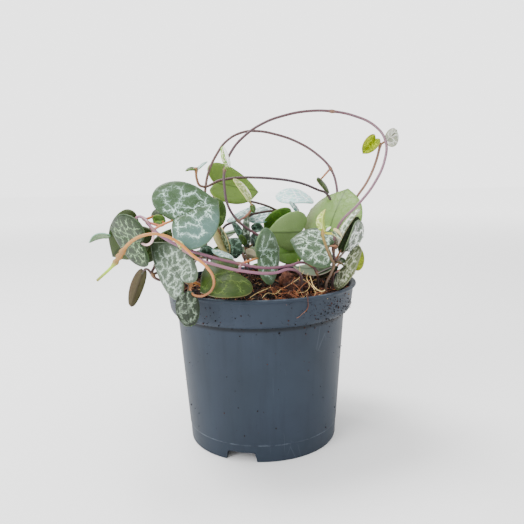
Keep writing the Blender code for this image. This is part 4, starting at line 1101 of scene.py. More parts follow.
    # Underside: one soft colour, a thin darker midrib and faint veins
    under = linear(look["under"])
    deepUnder = tuple(value * 0.5 for value in under[:3]) + (1.0,)
    faint = addNode(tree, "ShaderNodeMath", {0: veins, 1: 0.16}, operation="MULTIPLY")
    shadeUnder = addNode(tree, "ShaderNodeMapRange", {
        "Value": patch, "From Min": 0.3, "From Max": 0.7, "To Max": 0.22,
    })
    plain = addNode(tree, "ShaderNodeMath", {0: faint, 1: shadeUnder}, operation="ADD")
    ribUnder = addNode(tree, "ShaderNodeMapRange", {
        "Value": off, "From Min": 0.1, "From Max": 0.48, "To Min": 0.95, "To Max": 0.0,
    }, interpolation_type="SMOOTHSTEP")
    lined = addNode(tree, "ShaderNodeMath", {0: plain, 1: ribUnder}, operation="MAXIMUM")
    bottom = addNode(tree, "ShaderNodeMix", {0: lined, 6: under, 7: deepUnder}, data_type="RGBA")
    bottom = tinted(tinted(bottom, "across", "X"), "along", "Y")
    upper = addNode(tree, "ShaderNodeMath", {0: shape.outputs["Y"], 1: 0.5}, operation="GREATER_THAN")
    sides = addNode(tree, "ShaderNodeMix", {
        0: upper, 6: bottom.outputs[2], 7: top.outputs[2],
    }, data_type="RGBA")
    rimHere = addNode(tree, "ShaderNodeMapRange", {
        "Value": shape.outputs["X"], "From Min": 0.965, "From Max": 0.99, "To Max": 0.8,
    })
    rimmed = addNode(tree, "ShaderNodeMix", {
        0: rimHere, 6: sides.outputs[2], 7: look["rim"],
    }, data_type="RGBA")
    rough = addNode(tree, "ShaderNodeMapRange", {"Value": silver, "To Min": 0.40, "To Max": 0.56})
    skin = addNode(tree, "ShaderNodeTexNoise", {
        "Vector": own, "Scale": 5.5, "Detail": 2.0,
    })  # cell pads, 0.2 mm
    pads = addNode(tree, "ShaderNodeMath", {0: skin, 1: 0.35}, operation="MULTIPLY")
    raised = addNode(tree, "ShaderNodeMath", {0: broken, 1: 0.5, 2: pads}, operation="MULTIPLY_ADD")
    bump = addNode(tree, "ShaderNodeBump", {"Height": raised, "Strength": 0.5, "Distance": 0.00018})
    setSockets(tree, shader, {
        "Base Color": rimmed.outputs[2], "Roughness": rough.outputs[0], "Normal": bump.outputs[0],
        "IOR": 1.43, "Specular IOR Level": 0.3, "Subsurface Weight": 0.12, "Subsurface Scale": 0.001,
        "Subsurface Radius": (0.6, 1.0, 0.3),
    })
    return material


def stemMaterial():
    # Smooth wiry stem with a thin skin: satin, mottled lengthwise, paler at its joints
    material, tree, shader = newMaterial("smoothStemSkin")
    bark = addNode(tree, "ShaderNodeAttribute", attribute_name="bark")
    where = addNode(tree, "ShaderNodeTexCoord").outputs["Object"]
    mottle = addNode(tree, "ShaderNodeTexNoise", {"Vector": where, "Scale": 900.0, "Detail": 3.0})
    shade = addNode(tree, "ShaderNodeMapRange", {
        "Value": mottle, "From Min": 0.3, "From Max": 0.7, "To Min": 0.9, "To Max": 1.08,
    })
    shaded = addNode(tree, "ShaderNodeMix", {
        0: 1.0, 6: bark.outputs["Color"], 7: shade,
    }, data_type="RGBA", blend_type="MULTIPLY")
    bump = addNode(tree, "ShaderNodeBump", {"Height": mottle, "Strength": 0.3, "Distance": 0.0001})
    setSockets(tree, shader, {
        "Base Color": shaded.outputs[2], "Roughness": 0.42, "Subsurface Weight": 0.08,
        "Subsurface Scale": 0.0005, "Normal": bump.outputs[0],
    })
    return material


def tubeTree():
    # Lines of points that carry their own radius become round stems, fibres or strands
    tree, given = newNodeTree("roundStems", [("Sides", "Int"), ("Material", "Material")])
    line = addNode(tree, "GeometryNodeMeshToCurve", {"Mesh": given.outputs["Geometry"]})
    radius = addNode(tree, "GeometryNodeInputNamedAttribute", {"Name": "thickness"}, data_type="FLOAT")
    sized = addNode(tree, "GeometryNodeSetCurveRadius", {"Curve": line, "Radius": radius})
    ring = addNode(tree, "GeometryNodeCurvePrimitiveCircle", {
        "Resolution": given.outputs["Sides"], "Radius": 1.0,
    })
    tube = addNode(tree, "GeometryNodeCurveToMesh", {
        "Curve": sized, "Profile Curve": ring, "Fill Caps": True,
    })
    if "Scale" in tube.inputs:
        tree.links.new(radius.outputs[0], tube.inputs["Scale"])
    endTree(tree, given, tube)
    return tree


def smoothPath(points, steps):
    # The same automatic Bezier curve that the solid's stem follows, as points in mm
    curve = bpy.data.curves.new("route", "CURVE")
    curve.dimensions = "3D"
    curve.resolution_u = steps
    spline = curve.splines.new("BEZIER")
    spline.bezier_points.add(len(points) - 1)
    for handle, point in zip(spline.bezier_points, points):
        handle.co = point
        handle.handle_left_type = "AUTO"
        handle.handle_right_type = "AUTO"
    route = bpy.data.objects.new("route", curve)
    scene.collection.objects.link(route)
    mesh = route.to_mesh()
    path = [np.array(vert.co) for vert in mesh.vertices]
    route.to_mesh_clear()
    bpy.data.objects.remove(route)
    bpy.data.curves.remove(curve)
    return path


def spreadAlong(values, count):
    # Values given evenly along a line, read off at each of its points; works for numbers and for colours
    values = np.atleast_2d(np.array(values, float).T).T
    at = np.linspace(0, len(values) - 1, count)
    low = np.minimum(at.astype(int), len(values) - 1)
    high = np.minimum(low + 1, len(values) - 1)
    part = (at - low)[:, None]
    return values[low] * (1 - part) + values[high] * part


def wholeOutline(half):
    # Catmull-Rom through the few points of half an outline, from the notch to the tip, and its mirror
    points = [np.array(p) for p in ((0.0, 0.0),) + half + ((0.0, heartLength),)]
    points = [2 * points[0] - points[1]] + points + [2 * points[-1] - points[-2]]
    steps = plantLooks["outlineSteps"]
    line = []
    for a, b, c, d in zip(points, points[1:], points[2:], points[3:]):
        for i in range(steps):
            t = i / steps
            line.append(0.5 * (2 * b + (c - a) * t + (2 * a - 5 * b + 4 * c - d) * t * t
                               + (3 * b - a - 3 * c + d) * t ** 3))
    line.append(np.array((0.0, heartLength)))
    return np.array(line + [(-x, y) for x, y in line[-2:0:-1]])


def bladePoints(flat, leaf):
    # Places points of the flat heart on the folded, bowed and slightly wavy blade, in mm
    sinus, tip = np.array(leaf["from"], float), np.array(leaf["tip"], float)
    length = np.linalg.norm(tip - sinus)
    axis = (tip - sinus) / length
    face = np.array(leaf["face"], float)
    face -= axis * face.dot(axis)
    face /= np.linalg.norm(face)
    side = np.cross(axis, face)
    half = leaf["width"] / 2
    fold = math.radians(leaf["fold"])
    across, along = flat[:, 0], flat[:, 1]
    part = along / heartLength
    out = (np.sqrt(across ** 2 + 0.0036) - 0.06) * half
    arch = np.where(part > 0, 4 * part * (1 - part), 4 * part + 9 * part * part)
    wave = np.sin(3.4 * across + leaf["seed"]) * np.cos(3.9 * part + 1.7 * leaf["seed"]) * np.abs(across)
    lift = (out * math.sin(fold) + leaf["bow"] * length * arch
            + plantLooks["waviness"] * leaf["width"] * wave)
    sideways = across * half * math.cos(fold)
    onward = along * length / heartLength
    return sinus + side * sideways[:, None] + axis * onward[:, None] + face * lift[:, None]


def bladeMesh(leaf):
    # One closed blade: rings from its middle to its edge on both faces, thick inside, rounded at the edge
    levels = plantLooks["rings"]
    outline = leaf["outline"]
    count = len(outline)
    middle = np.array((0.0, heartCentre))
    flat = np.vstack([middle[None, :]] + [middle + (outline - middle) * t for t in levels] + [outline])
    t = np.concatenate([[0.0]] + [np.full(count, level) for level in levels] + [np.ones(count)])
    step = 0.004
    spot = bladePoints(flat, leaf)
    overX = bladePoints(flat + (step, 0.0), leaf) - spot
    overY = bladePoints(flat + (0.0, step), leaf) - spot
    normal = np.cross(overX, overY)
    normal /= np.linalg.norm(normal, axis=1)[:, None]
    base, perWidth = plantLooks["bladeThickness"]
    thick = (leaf["thick"] or base + perWidth * leaf["width"]) / 2
    rise = thick * np.sqrt(np.maximum(0.0, 1.0 - t ** 6))
    across = flat[:, 0] * leaf["width"] / 2
    along = flat[:, 1] * np.linalg.norm(np.subtract(leaf["tip"], leaf["from"])) / heartLength
    rib = np.exp(-(across / plantLooks["ribReach"]) ** 2) * (t < 0.9)
    top = spot + normal * (rise * (1.0 - 0.3 * rib))[:, None]
    bottom = spot - normal * (rise * (1.0 + 0.3 * rib))[:, None]
    inner = 1 + len(levels) * count  # the points of one face without the shared edge
    verts = np.vstack([top[:inner], spot[inner:], bottom[:inner]])
    under = inner + count
    onBoth = np.concatenate([np.arange(under), np.arange(inner)])  # upper face, edge, lower face
    places = np.column_stack([across, along, np.full(len(t), float(leaf["seed"]))])[onBoth]
    upper = np.concatenate([np.ones(inner), np.full(count, 0.5), np.zeros(inner)])
    forms = np.column_stack([t[onBoth], upper, np.zeros(len(upper))])
    faces = []
    for k in range(count):
        j = (k + 1) % count
        faces.append((0, 1 + k, 1 + j))
        faces.append((under, under + 1 + j, under + 1 + k))
        for ring in range(len(levels)):
            a, b = 1 + ring * count + k, 1 + ring * count + j
            faces.append((a, a + count, b + count, b))
            if ring < len(levels) - 1:
                faces.append((under + a, under + b, under + b + count, under + a + count))
            else:
                faces.append((under + a, under + b, inner + j, inner + k))
    return verts, faces, places, forms


def leaf(outline, kind, start, tip, face, width, node=None, fold=8, bow=0.12, via=(), stalk=None,
         thick=None):
    # Its notch and tip, the way its face looks, its width, and the joint that its stalk comes from
    return {"outline": outline, "kind": kind, "from": start, "tip": tip, "face": face, "width": width,
            "node": node, "fold": fold, "bow": bow, "via": list(via), "stalk": stalk, "thick": thick}


heartOutline, ovalOutline = wholeOutline(heartHalf), wholeOutline(ovalHalf)


def heart(*values, **more):
    return leaf(heartOutline, *values, **more)


def oval(*values, **more):
    return leaf(ovalOutline, *values, **more)


def hangingPair(kind, node, along, out, size, drop=0.8, spread=0.45):
    # Two opposite leaves at a joint, hanging with their faces outwards
    node, out = Vector(node), Vector(out).normalized()
    side = Vector(along).cross(out).normalized()
    pair = []
    for hand in (-1, 1):
        start = node + side * (hand * 2.3) + out * 0.5 + Vector((0, 0, 0.3))
        reach = side * (hand * spread) + out * (0.12 + 0.06 * hand) + Vector((0, 0, -drop))
        tip = start + reach.normalized() * size * 0.78
        face = out + side * (0.35 * hand) + Vector((0, 0, 0.35))
        pair.append(heart(kind, tuple(start), tuple(tip), tuple(face), size, tuple(node)))
    return pair


# Each stem, in mm from the pot's axis: its foot, its colours from root to tip, its route and its leaves
vines = {
    "vine_outer_loop": {
        "root": (22.6, -8.6), "stalk": "#99674b",
        "bark": "#37231e #4c3438 #72525e #7f616d #6b4d58 #53373c #4c3337 #493339 #573f48 #6b454e",
        "knots": [(23.9, 2, 104.7), (-17.3, 0, 76)],
        "path": [(22.9, -9.6, 58), (22.6, -11.6, 64.5), (24.2, -13.6, 70.3), (29.5, -14.2, 75.9),
                 (34.7, -12.2, 82), (38.4, -9.2, 89), (39.2, -6.4, 94.5), (36.6, -2, 99.7),
                 (30.8, 0.6, 103), (23.9, 2, 104.7), (16, 2, 104.9), (8.6, 1, 103.6), (2, 0, 101.3),
                 (-4, -1.2, 97.4), (-8.2, -2.8, 92.6), (-10.4, -4, 87), (-10.5, -5.2, 81), (-9.3, -6, 75.3),
                 (-6, -6.2, 70.6), (-1.5, -5.4, 67.2), (1.2, -4.6, 65.5)],
        "leaves": [
            oval("young", (-9.1, -5.2, 88), (-10.6, -8.2, 94), (-0.14, -0.99, 0.08), 2.5, (-10.4, -4, 86.9),
                 17, 0.11, stalk="#84a245"),
            oval("pale", (-3, -4.6, 77.2), (-7.8, -2.9, 84.2), (0.73, -0.41, 0.54), 5, (-6.4, -6.2, 71.1),
                 13, 0.04, via=[(-3.6, -5.6, 73), (-2.2, -5, 75.4)], stalk="#96644b"),
            oval("olive", (-2.5, -5, 76), (-1.4, -4.5, 73.6), (0.78, -0.45, 0.43), 3.5, (-2.2, -5, 75.4), 1,
                 0.08),
            heart("bold", (20.5, -14.4, 63.4), (9.1, -12.9, 65.5), (0.46, -0.69, 0.56), 15.4,
                  (22.7, -11, 63), -10, 0.05, via=[(23.1, -13, 63.4)]),
            oval("blush", (23.5, -10.3, 62.6), (31.3, -9.2, 74.5), (-0.75, -0.5, 0.43), 3,
                 (22.6, -10.8, 62), 18, 0.08),
            oval("frosted", (26.8, -10.2, 61.7), (30.1, -11.2, 71.2), (0.82, -0.54, 0.2), 9.4,
                 (22.9, -9.4, 57.4), 9, 0.06, stalk="#837369"),
            heart("dusty", (25.8, -11.8, 57.1), (27.3, -20, 56.1), (-0.84, -0.29, 0.46), 15.2,
                  (22.9, -9.4, 57.4), -2, -0.03, via=[(24.2, -10.8, 58.2)], stalk="#827558"),
            heart("lime", (29.4, -5, 55.9), (33, 4.1, 61.7), (0.25, -0.91, 0.34), 6.8, (22.7, -8.7, 54.4),
                  34, -0.03),
            oval("deep", (25.1, -8.9, 61.4), (30.6, -8.4, 71.9), (-0.21, -0.89, 0.4), 3.8,
                 (22.9, -9.5, 57.8), 6, 0.05),
            oval("deep", (24.8, -5, 57), (27, -4.5, 58.3), (-0.2, -0.48, 0.85), 3.3, (22.8, -8.9, 55), -1,
                 0.09),
        ],
    },
    "vine_right_shoot": {
        "root": (20.5, 5.5), "stalk": "#896543",
        "bark": "#37231e #573c35 #6d4f43 #7c5b49 #704f3e",
        "path": [(22, 6, 58), (26.5, 5.8, 68.5), (32, 4.6, 77), (35.6, 3.2, 82.6), (37.9, 2.2, 88.3),
                 (39.3, 0.9, 94.6)],
        "leaves": [
            heart("lime", (37.2, -0.8, 95.7), (33.6, 1.7, 91.2), (0.21, -0.89, 0.4), 6.2, (39.2, 1, 94), 44,
                  0.07),
            heart("speckled", (40.8, 0.2, 94.9), (45.1, 3.8, 98.7), (0.49, -0.86, 0.13), 6.8, (39.2, 1, 94),
                  40, -0.05),
            heart("silver", (28.4, 8.4, 67.6), (31.5, 17, 62.6), (0.75, 0.3, 0.6), 14, (26.4, 5.8, 68.3)),
            heart("silver", (23.8, 9.6, 68), (17.5, 15.5, 64.6), (-0.1, 0.5, 0.85), 13, (26.4, 5.8, 68.3)),
        ],
    },
    "vine_inner_loop": {
        "root": (-17, 0.5), "stalk": "#9e663a",
        "bark": "#3a2827 #654b43 #71564b #573d39 #4d3635 #523b3e #63494f #7a5f6a",
        "path": [(-17.3, 0.2, 62), (-17.3, 0, 76), (-16.7, 0.4, 83), (-15.6, 1.6, 87.2), (-13.3, 3.6, 92),
                 (-10, 5.6, 96.4), (-5, 7.2, 99.1), (0, 8, 99.5), (5.9, 8.2, 98.4), (13.3, 8.4, 95.7),
                 (20, 8.6, 91.4), (24.2, 8.8, 86.9), (26.4, 10, 81), (26.8, 12, 75.5)],
        "leaves": [
            oval("green", (19.9, 8.4, 83.7), (23.7, 8.6, 78.6), (0.84, -0.34, 0.42), 5.2, (24.2, 8.8, 86.9),
                 -8, 0.06),
            heart("silver", (28, 14.4, 74.8), (30, 22.5, 68), (0.6, 0.45, 0.65), 13, (26.8, 12, 75.8)),
            heart("bold", (25.2, 14.6, 72.8), (20, 21.6, 67), (-0.1, 0.4, 0.9), 12, (26.8, 12, 75.7)),
            heart("silver", (-19.4, 1.4, 71.2), (-25, 6, 64), (-0.5, 0.5, 0.7), 12, (-17.3, 0, 71)),
        ],
    },
    "vine_cross_arch": {
        "root": (20.2, 0.5), "stalk": "#7f623f",
        "bark": "#37231e #4c3731 #413032 #392a2f #3d2d35 #412f31 #573d34 #95663e",
        "path": [(21.4, 0.4, 58), (23.2, 0.6, 65.5), (24.4, 4.4, 73), (22.4, 5, 78.7), (19.5, 4.6, 80),
                 (15.1, 3.6, 81.9), (10.6, 2.6, 83.1), (5.4, 1.4, 83.9), (-0.6, 0.8, 84.4),
                 (-5.7, 0.2, 84.5), (-12, -0.6, 83.8), (-18.2, -2, 82.1), (-19.3, -2.3, 84.2),
                 (-19.4, -2.3, 88)],
        "leaves": [
            heart("sage", (22.8, -1.3, 66.7), (29.8, 6.4, 80.2), (0.53, 0.7, -0.47), 20.6,
                  (23.2, 0.6, 65.3), -4, -0.05, via=[(23.2, -0.6, 66)]),
            heart("fern", (13.7, 0.2, 66.9), (2.4, -4.9, 67.4), (0.13, 0.99, 0.09), 13.1, (22.8, 0.5, 63.6),
                  9, -0.06, via=[(18, -0.4, 64.6)]),
            heart("olive", (-20.1, -2.5, 87.4), (-22.8, -3, 86.8), (-0.1, -0.5, 0.9), 2.2,
                  (-19.4, -2.3, 87.6), thick=0.6),
            oval("frost", (-18.9, -2.5, 87.5), (-15.9, -1.4, 89.7), (-0.54, -0.22, 0.81), 3.7,
                 (-19.4, -2.3, 87.2), -2, 0.06, thick=0.6),
            oval("leafy", (13.8, 3, 59.3), (5, 2.1, 59), (-0.02, -0.91, 0.41), 7.4, (21.5, 0.4, 58.6), 2,
                 0.11, via=[(17.4, 2, 58.8)]),
        ],
    },
    "vine_centre_back": {
        "root": (-12.5, 5.5), "stalk": "#8a6845",
        "bark": "#37231e #412e2f #443133 #4d3535",
        "path": [(-12.4, 5.4, 60), (-11.8, 5.2, 68.2), (-8.5, 6, 69.9), (-3.5, 7.4, 71.9), (1.8, 8.8, 72.9),
                 (6, 9.8, 73.2)],
        "branches": [[(6, 9.8, 73.2), (3.8, 7.8, 74.5), (-2.2, 5.9, 76.5), (-8.2, 4.9, 77.4),
                      (-13.6, 4.7, 77.4), (-15, 5, 79)]],
        "leaves": [
            heart("moss", (-14, 3.6, 82.7), (0.1, 10.5, 79.5), (-0.01, 0.79, -0.62), 16.5,
                  (-14.2, 4.8, 77.8), -10, 0.02),
            heart("fleshy", (10.8, 9, 71.6), (1.5, 13.6, 66.1), (0.56, -0.75, 0.35), 14.7, (6, 9.8, 73.2),
                  55, 0.01),
            oval("frost", (4.8, 12, 71.9), (-3.9, 14.1, 70.8), (-0.09, -0.46, 0.89), 11, (6, 9.8, 73.2), 6,
                 -0.04),
            oval("ice", (18.2, 17, 76.8), (6, 14, 76.9), (-0.15, -0.39, 0.91), 13.3, (6, 9.8, 73.2), -5,
                 via=[(13, 9.8, 72.6), (12, 15.6, 75.6)]),
            oval("frost", (-2.4, 10, 73.8), (-11.1, 9.6, 69.8), (-0.12, -0.12, 0.99), 11.6,
                 (-3.5, 7.4, 71.9), -2, 0.01),
            oval("frost", (12.8, 8, 72.9), (10.5, 9.3, 76.2), (0.86, -0.32, 0.41), 5.3, (12.6, 9.8, 72.7),
                 -4, 0.07),
        ],
    },
    "vine_front_runner": {
        "root": (17.4, -14.2), "stalk": "#b97038",
        # the first three near-black colours are painted shade on the stem's foot, where it rises out of the
        # soil in shadow
        "bark": "#241714 #261815 #33211f #4e2f36 #633e49 #6d4356 #704658 #724857 #784d60 #835871 #90627d "
                "#a06b87 #b0738f #b36069",
        "path": [(17, -15, 56), (14.8, -15.4, 58.4), (12.4, -16.6, 59.2), (8.7, -20.6, 59), (1.2, -24, 59),
                 (-5.6, -26, 60.6), (-14.6, -28, 63.4), (-22.3, -29, 66.5), (-29, -28.2, 70.9),
                 (-31.4, -26, 73.4), (-33.9, -22.6, 74.2), (-35.6, -19.6, 72.8), (-35.4, -17.8, 70)],
        "leaves": [
            heart("silver", (-0.5, -20.2, 61.2), (6, -11.5, 63), (0.82, -0.56, 0.04), 17.7,
                  (-5.6, -26, 60.6), 16, -0.04, via=[(-3.4, -23.6, 60.9)]),
            heart("green", (-6.4, -28.2, 58.2), (-16.6, -30.8, 53.6), (-0.2, -0.62, 0.76), 17.2,
                  (-5.6, -26, 60.6), -4, 0.15, via=[(-5.6, -27.6, 59.6)], stalk="#80505f"),
            heart("grey", (20.2, -12.6, 57.6), (10, -13.4, 57.4), (0, 0.45, -0.9), 6.8, (15.1, -15.3, 58.1),
                  4),
            heart("silverBlue", (-24, -25.5, 73.1), (-11.5, -19.1, 78), (0.1, -0.84, 0.54), 22.8,
                  (-29, -28.2, 70.9), 6, 0.04, via=[(-26.9, -27.8, 72)]),
            # its pale pink stalk colour is partly a painted highlight on the stalk's curl
            heart("faint", (-32.6, -27, 67.2), (-43.1, -19, 70.5), (-0.74, -0.6, -0.3), 16.5,
                  (-29, -28.2, 70.9), 4, 0, via=[(-29.3, -28.8, 68), (-30.8, -28.2, 66.8)],
                  stalk="#efc4c6"),
            oval("moss", (-26.2, -24.8, 73.5), (-29.8, -23.9, 73.1), (0.19, -0.98, -0.08), 3.7,
                 (-30.6, -26.8, 72.8), 26, 0.11, via=[(-26.6, -26.2, 72)]),
            oval("deep", (-30.2, -22.5, 73.8), (-27.1, -22.3, 75.8), (-0.26, -0.62, 0.74), 4.7,
                 (-31.8, -25.4, 73.5), -8, 0.06),
            heart("night", (-35.1, -17.2, 71.1), (-45.2, -10.7, 61.3), (0.2, 0.98, 0.06), 14,
                  (-35.5, -18.2, 70.6), -10, 0),
            heart("frost", (-45.4, -12.6, 67.6), (-51.4, -13.2, 66), (-0.2, 0.28, 0.94), 6.6,
                  (-35.5, -18.2, 70.6), via=[(-39, -14, 69)]),
            oval("mauve", (23.5, -12, 56.4), (15.9, -13.8, 54.2), (-0.01, 0.53, 0.85), 6.5,
                 (17.1, -14.9, 55.6), 1, -0.01),
        ],
    },
    "vine_front_lower": {
        "root": (12, -20.6), "stalk": "#9a687c",
        # the first four near-black colours are painted shade on the stem's foot, where it rises out of the
        # soil in shadow
        "bark": "#241714 #241714 #261815 #2e1d1c #54363c #6d4655 #784d61 #7c5164 #815668 #865a6c #8e6072 "
                "#9a687c",
        "path": [(11.6, -21.6, 56.4), (8.6, -23.8, 58.4), (3.9, -27.2, 58), (-4.1, -31.4, 59.3),
                 (-11.4, -32, 61.2), (-16.8, -32, 63.2), (-20.6, -31.8, 65.8)],
        "leaves": [
            heart("pale", (-20.9, -31.8, 66.4), (-22.6, -32, 68.4), (0.6, -0.7, 0.3), 1.8,
                  (-20.4, -31.8, 65.6), thick=0.6),
        ],
    },
    "vine_orange_shoot": {
        "slot": "shoot_orange", "root": (-17.2, -19.4), "stalk": "#805d3d",
        "bark": "#624031 #7c5038 #945f3c #ac6a3b #b4743f #b8763e #b47440 #a4683a #945e36 #8a572f #86542c "
                "#86542c #8c5a30 #a0663a #b87640 #bc7a37 #b97833 #b8792f #b07634 #ac7236 #ae7838 #b27c3a "
                "#ae7a3a #a27236 #8c7034 #a4ce1e #84833a",
        "radii": [0.42, 0.42, 0.42, 0.42, 0.4, 0.37, 0.34, 0.32, 0.31, 0.31, 0.32, 0.33, 0.34, 0.36, 0.38,
                  0.4, 0.4, 0.4, 0.4, 0.4, 0.42, 0.43, 0.46, 0.5, 0.46, 0.4, 0.36],
        "swelling": 1.0,
        "knots": [(-36.2, -34.2, 65.6), (-37.2, -34.2, 64.4), (-38.4, -34.1, 63)],
        "path": [(-18.4, -22.6, 54.8), (-19.6, -26.4, 55), (-19.2, -29.4, 53.6), (-17.2, -32.4, 53),
                 (-14.6, -34, 53.7), (-12.8, -34.4, 55.4), (-12.4, -34.5, 57.9), (-13.8, -34.5, 60.8),
                 (-17.6, -34.5, 64.3), (-21.8, -34.5, 68.2), (-26, -34.5, 70.1), (-30.5, -34.4, 70),
                 (-34.3, -34.3, 68), (-37.2, -34.2, 64.5), (-38.7, -34, 62.5), (-43.6, -33.8, 58.1)],
        "leaves": [
            heart("shaded", (-21.1, -29.4, 56.4), (-31.1, -22.6, 66.9), (-0.44, -0.89, 0.1), 12.9,
                  (-19.6, -26.4, 55), 0, -0.07),
            oval("dim", (-20.6, -29.8, 53.5), (-19.1, -33.8, 44.9), (-0.07, -0.99, 0.1), 6.8,
                 (-19.6, -26.4, 55), -8),
        ],
    },
    "vine_left_low": {
        "slot": "leaf_green", "root": (-22.4, -10), "stalk": "#452c2b",
        "bark": "#372322 #412a29 #452c2b",
        "path": [(-24.4, -13, 54.8), (-27.8, -16.8, 54.6), (-31.6, -18.6, 56.7), (-30.9, -16.6, 59.6)],
        "branches": [[(-31.4, -18.4, 56.6), (-31.1, -17.6, 57), (-28.8, -16.4, 57)]],
        "leaves": [
            oval("dusky", (-34.6, -17.4, 57.9), (-38.8, -17.1, 46.9), (-0.17, 0.94, 0.31), 4.3,
                 (-31.6, -18.6, 56.6), 18, 0.11, via=[(-33.4, -18.4, 58.5)]),
            heart("night", (-30.2, -20.9, 61.7), (-25.8, -17.2, 70.2), (0.05, -0.99, 0.11), 6.2,
                  (-30.9, -16.8, 59.4)),
        ],
    },
    "vine_centre_left": {
        "root": (-9.5, -9.5), "stalk": "#826549",
        "bark": "#372322 #4c3531 #624b41",
        "path": [(-9.6, -9.2, 56), (-9.8, -8.8, 60.3), (-9.4, -8, 64)],
        "leaves": [
            oval("cream", (-9.8, -8.5, 61.3), (-13.3, -5, 69.5), (-0.04, -0.98, 0.17), 10,
                 (-9.8, -8.8, 60.1), 68, 0.1),
            oval("shade", (-7.7, -8.4, 60.7), (-8.1, -5.8, 65.9), (-0.01, -0.95, 0.3), 5.5,
                 (-9.7, -9, 58.6), 25, 0.08),
            oval("frost", (-8.1, -17, 61.2), (-14.1, -18.3, 63.7), (0.07, -0.12, 0.99), 8.2,
                 (-9.6, -9.2, 56.6), -6, 0.03, via=[(-8.8, -13, 59.8)]),
            oval("olive", (-13.6, -10.5, 70.3), (-12.4, -11.8, 78.7), (-0.36, -0.9, 0.26), 7.2,
                 (-9.4, -8, 63.8), -10, 0.05, via=[(-12.4, -9.4, 68.4)]),
            oval("shade", (-8.1, -6.8, 59.6), (-5.5, -5.4, 62.7), (0.1, -0.97, 0.21), 4.8, (-9.7, -9, 58.8),
                 67, 0.09),
            heart("shade", (-14.2, -15, 62), (-18.4, -13.1, 62.7), (-0.14, -0.92, 0.37), 6.4,
                  (-9.6, -9.2, 57.2), 56, 0.09, via=[(-12, -12.6, 60.4)]),
        ],
    },
    "vine_centre": {
        "root": (-3.5, -1.5), "stalk": "#826549",
        "bark": "#372322 #4c3531 #624b41",
        "path": [(-3.8, -1.4, 58), (-4.4, -0.8, 62.5), (-4.2, 0.6, 67)],
        "leaves": [
            oval("mottled", (-3.9, -2, 62.6), (-3.9, 0, 73), (-0.15, -0.98, 0.1), 2.7, (-4.3, -0.9, 62), 27,
                 0.11),
            oval("shade", (-4.6, -3, 63), (-8.7, 2.5, 70), (0.21, -0.96, 0.17), 3.2, (-4.3, -0.9, 62), 43),
            heart("shade", (-2.2, 0, 67.8), (1.5, 1.8, 68), (0.04, -0.95, 0.31), 4.8, (-4.2, 0.6, 66.6), 52,
                  0.09),
            heart("rose", (-3.8, -11, 61.3), (-0.8, -13.8, 60.5), (-0.09, 0.93, 0.35), 3.8,
                  (-3.8, -1.4, 58.4), 21, 0.07, via=[(-2.6, -6.6, 60.6)]),
            oval("olive", (-4.5, -3.9, 63.4), (-6.2, -3.2, 66.6), (0.01, -1, 0.05), 2.2, (-4.3, -0.9, 62.1),
                 18),
            oval("shade", (-1.7, -1.8, 62.6), (-1.5, -1.5, 66.9), (-0.86, -0.51, 0.07), 5.5,
                 (-4.3, -0.8, 61.7), -6, 0.08),
        ],
    },
    "vine_bud_shoot": {
        "slot": "leaf_pale", "root": (19.6, -17), "stalk": "#b9c03a",
        "bark": "#3a2a22 #4c3a2c #5f4a34 #7a6238 #a89a3c",
        "path": [(20.8, -17.4, 55.4), (21.8, -18.2, 58.6), (20.9, -19, 60.4), (19.9, -19.8, 62.6),
                 (18.9, -20.5, 65.3), (18.2, -20.8, 68), (18.6, -20.9, 69.3)],
        "leaves": [
            heart("bud", (18.8, -20.6, 69.6), (19, -20.9, 75.2), (-0.8, -0.5, 0.1), 4.4, None, 48,
                  thick=0.6),
            heart("cream", (21.5, -20.5, 68.6), (23.7, -20, 66), (0.2, -0.7, 0.7), 2.8, (18.6, -20.8, 68.3),
                  thick=0.6),
            heart("young", (19.1, -20.8, 69.3), (20.7, -20.4, 69.9), (-0.2, -0.7, 0.7), 1.7,
                  (18.4, -20.7, 68.9), thick=0.6),
        ],
    },
    "vine_middle_right": {
        "root": (9, 4.5), "stalk": "#826549",
        "bark": "#372322 #4e3639 #65494f",
        "path": [(9, 5, 57), (9.6, 8, 60.4), (11, 12.6, 62.6)],
        "leaves": [
            heart("silver", (12.6, 14, 62.6), (20, 21.4, 60.4), (0.2, 0.1, 0.95), 12, (11, 12.4, 62.5)),
            heart("bold", (9.4, 15, 62.4), (4.6, 23, 60.8), (-0.1, 0.2, 0.95), 11, (11, 12.4, 62.5)),
            heart("mottled", (11.4, 7.4, 57.8), (18, 10.6, 57), (0.1, -0.2, 0.95), 7.6, (9.2, 5.6, 57.6)),
        ],
    },
    "vine_middle_left": {
        "root": (-5, 10.5), "stalk": "#826549",
        "bark": "#372322 #4e3639 #65494f",
        "path": [(-5.4, 11, 57), (-8, 13.5, 61), (-12.5, 15.5, 64.5)],
        "leaves": [
            heart("silver", (-14.6, 15.2, 65), (-24.4, 14.6, 62.6), (-0.2, 0.1, 0.95), 13,
                  (-12.3, 15.4, 64.3)),
            heart("silver", (-12.6, 17.8, 64.8), (-13.6, 28, 61), (-0.1, 0.3, 0.93), 13,
                  (-12.3, 15.4, 64.3)),
            heart("green", (-3.6, 13, 58.4), (2.6, 20.6, 57.6), (0.1, 0.1, 0.97), 12, (-5.5, 11.1, 57.6)),
        ],
    },
    "vine_back_left": {
        "root": (-14.5, 10.5), "stalk": "#96644b",
        "bark": "#372322 #573b44 #6b4d58 #654249 #826759",
        "path": [(-16.2, 13, 55.6), (-20.4, 18, 56.6), (-24.2, 22.6, 53.6), (-25, 24.2, 46),
                 (-24, 23.6, 37)],
        "leaves": [
            *hangingPair("bold", (-20, 17.6, 56.6), (-1, 1, 0.1), (-0.6, 0.5, 0.8), 12, 0.5, 0.8),
            *hangingPair("silver", (-24.8, 24, 47.5), (0, 0, -1), (-0.7, 0.72, 0), 12.5),
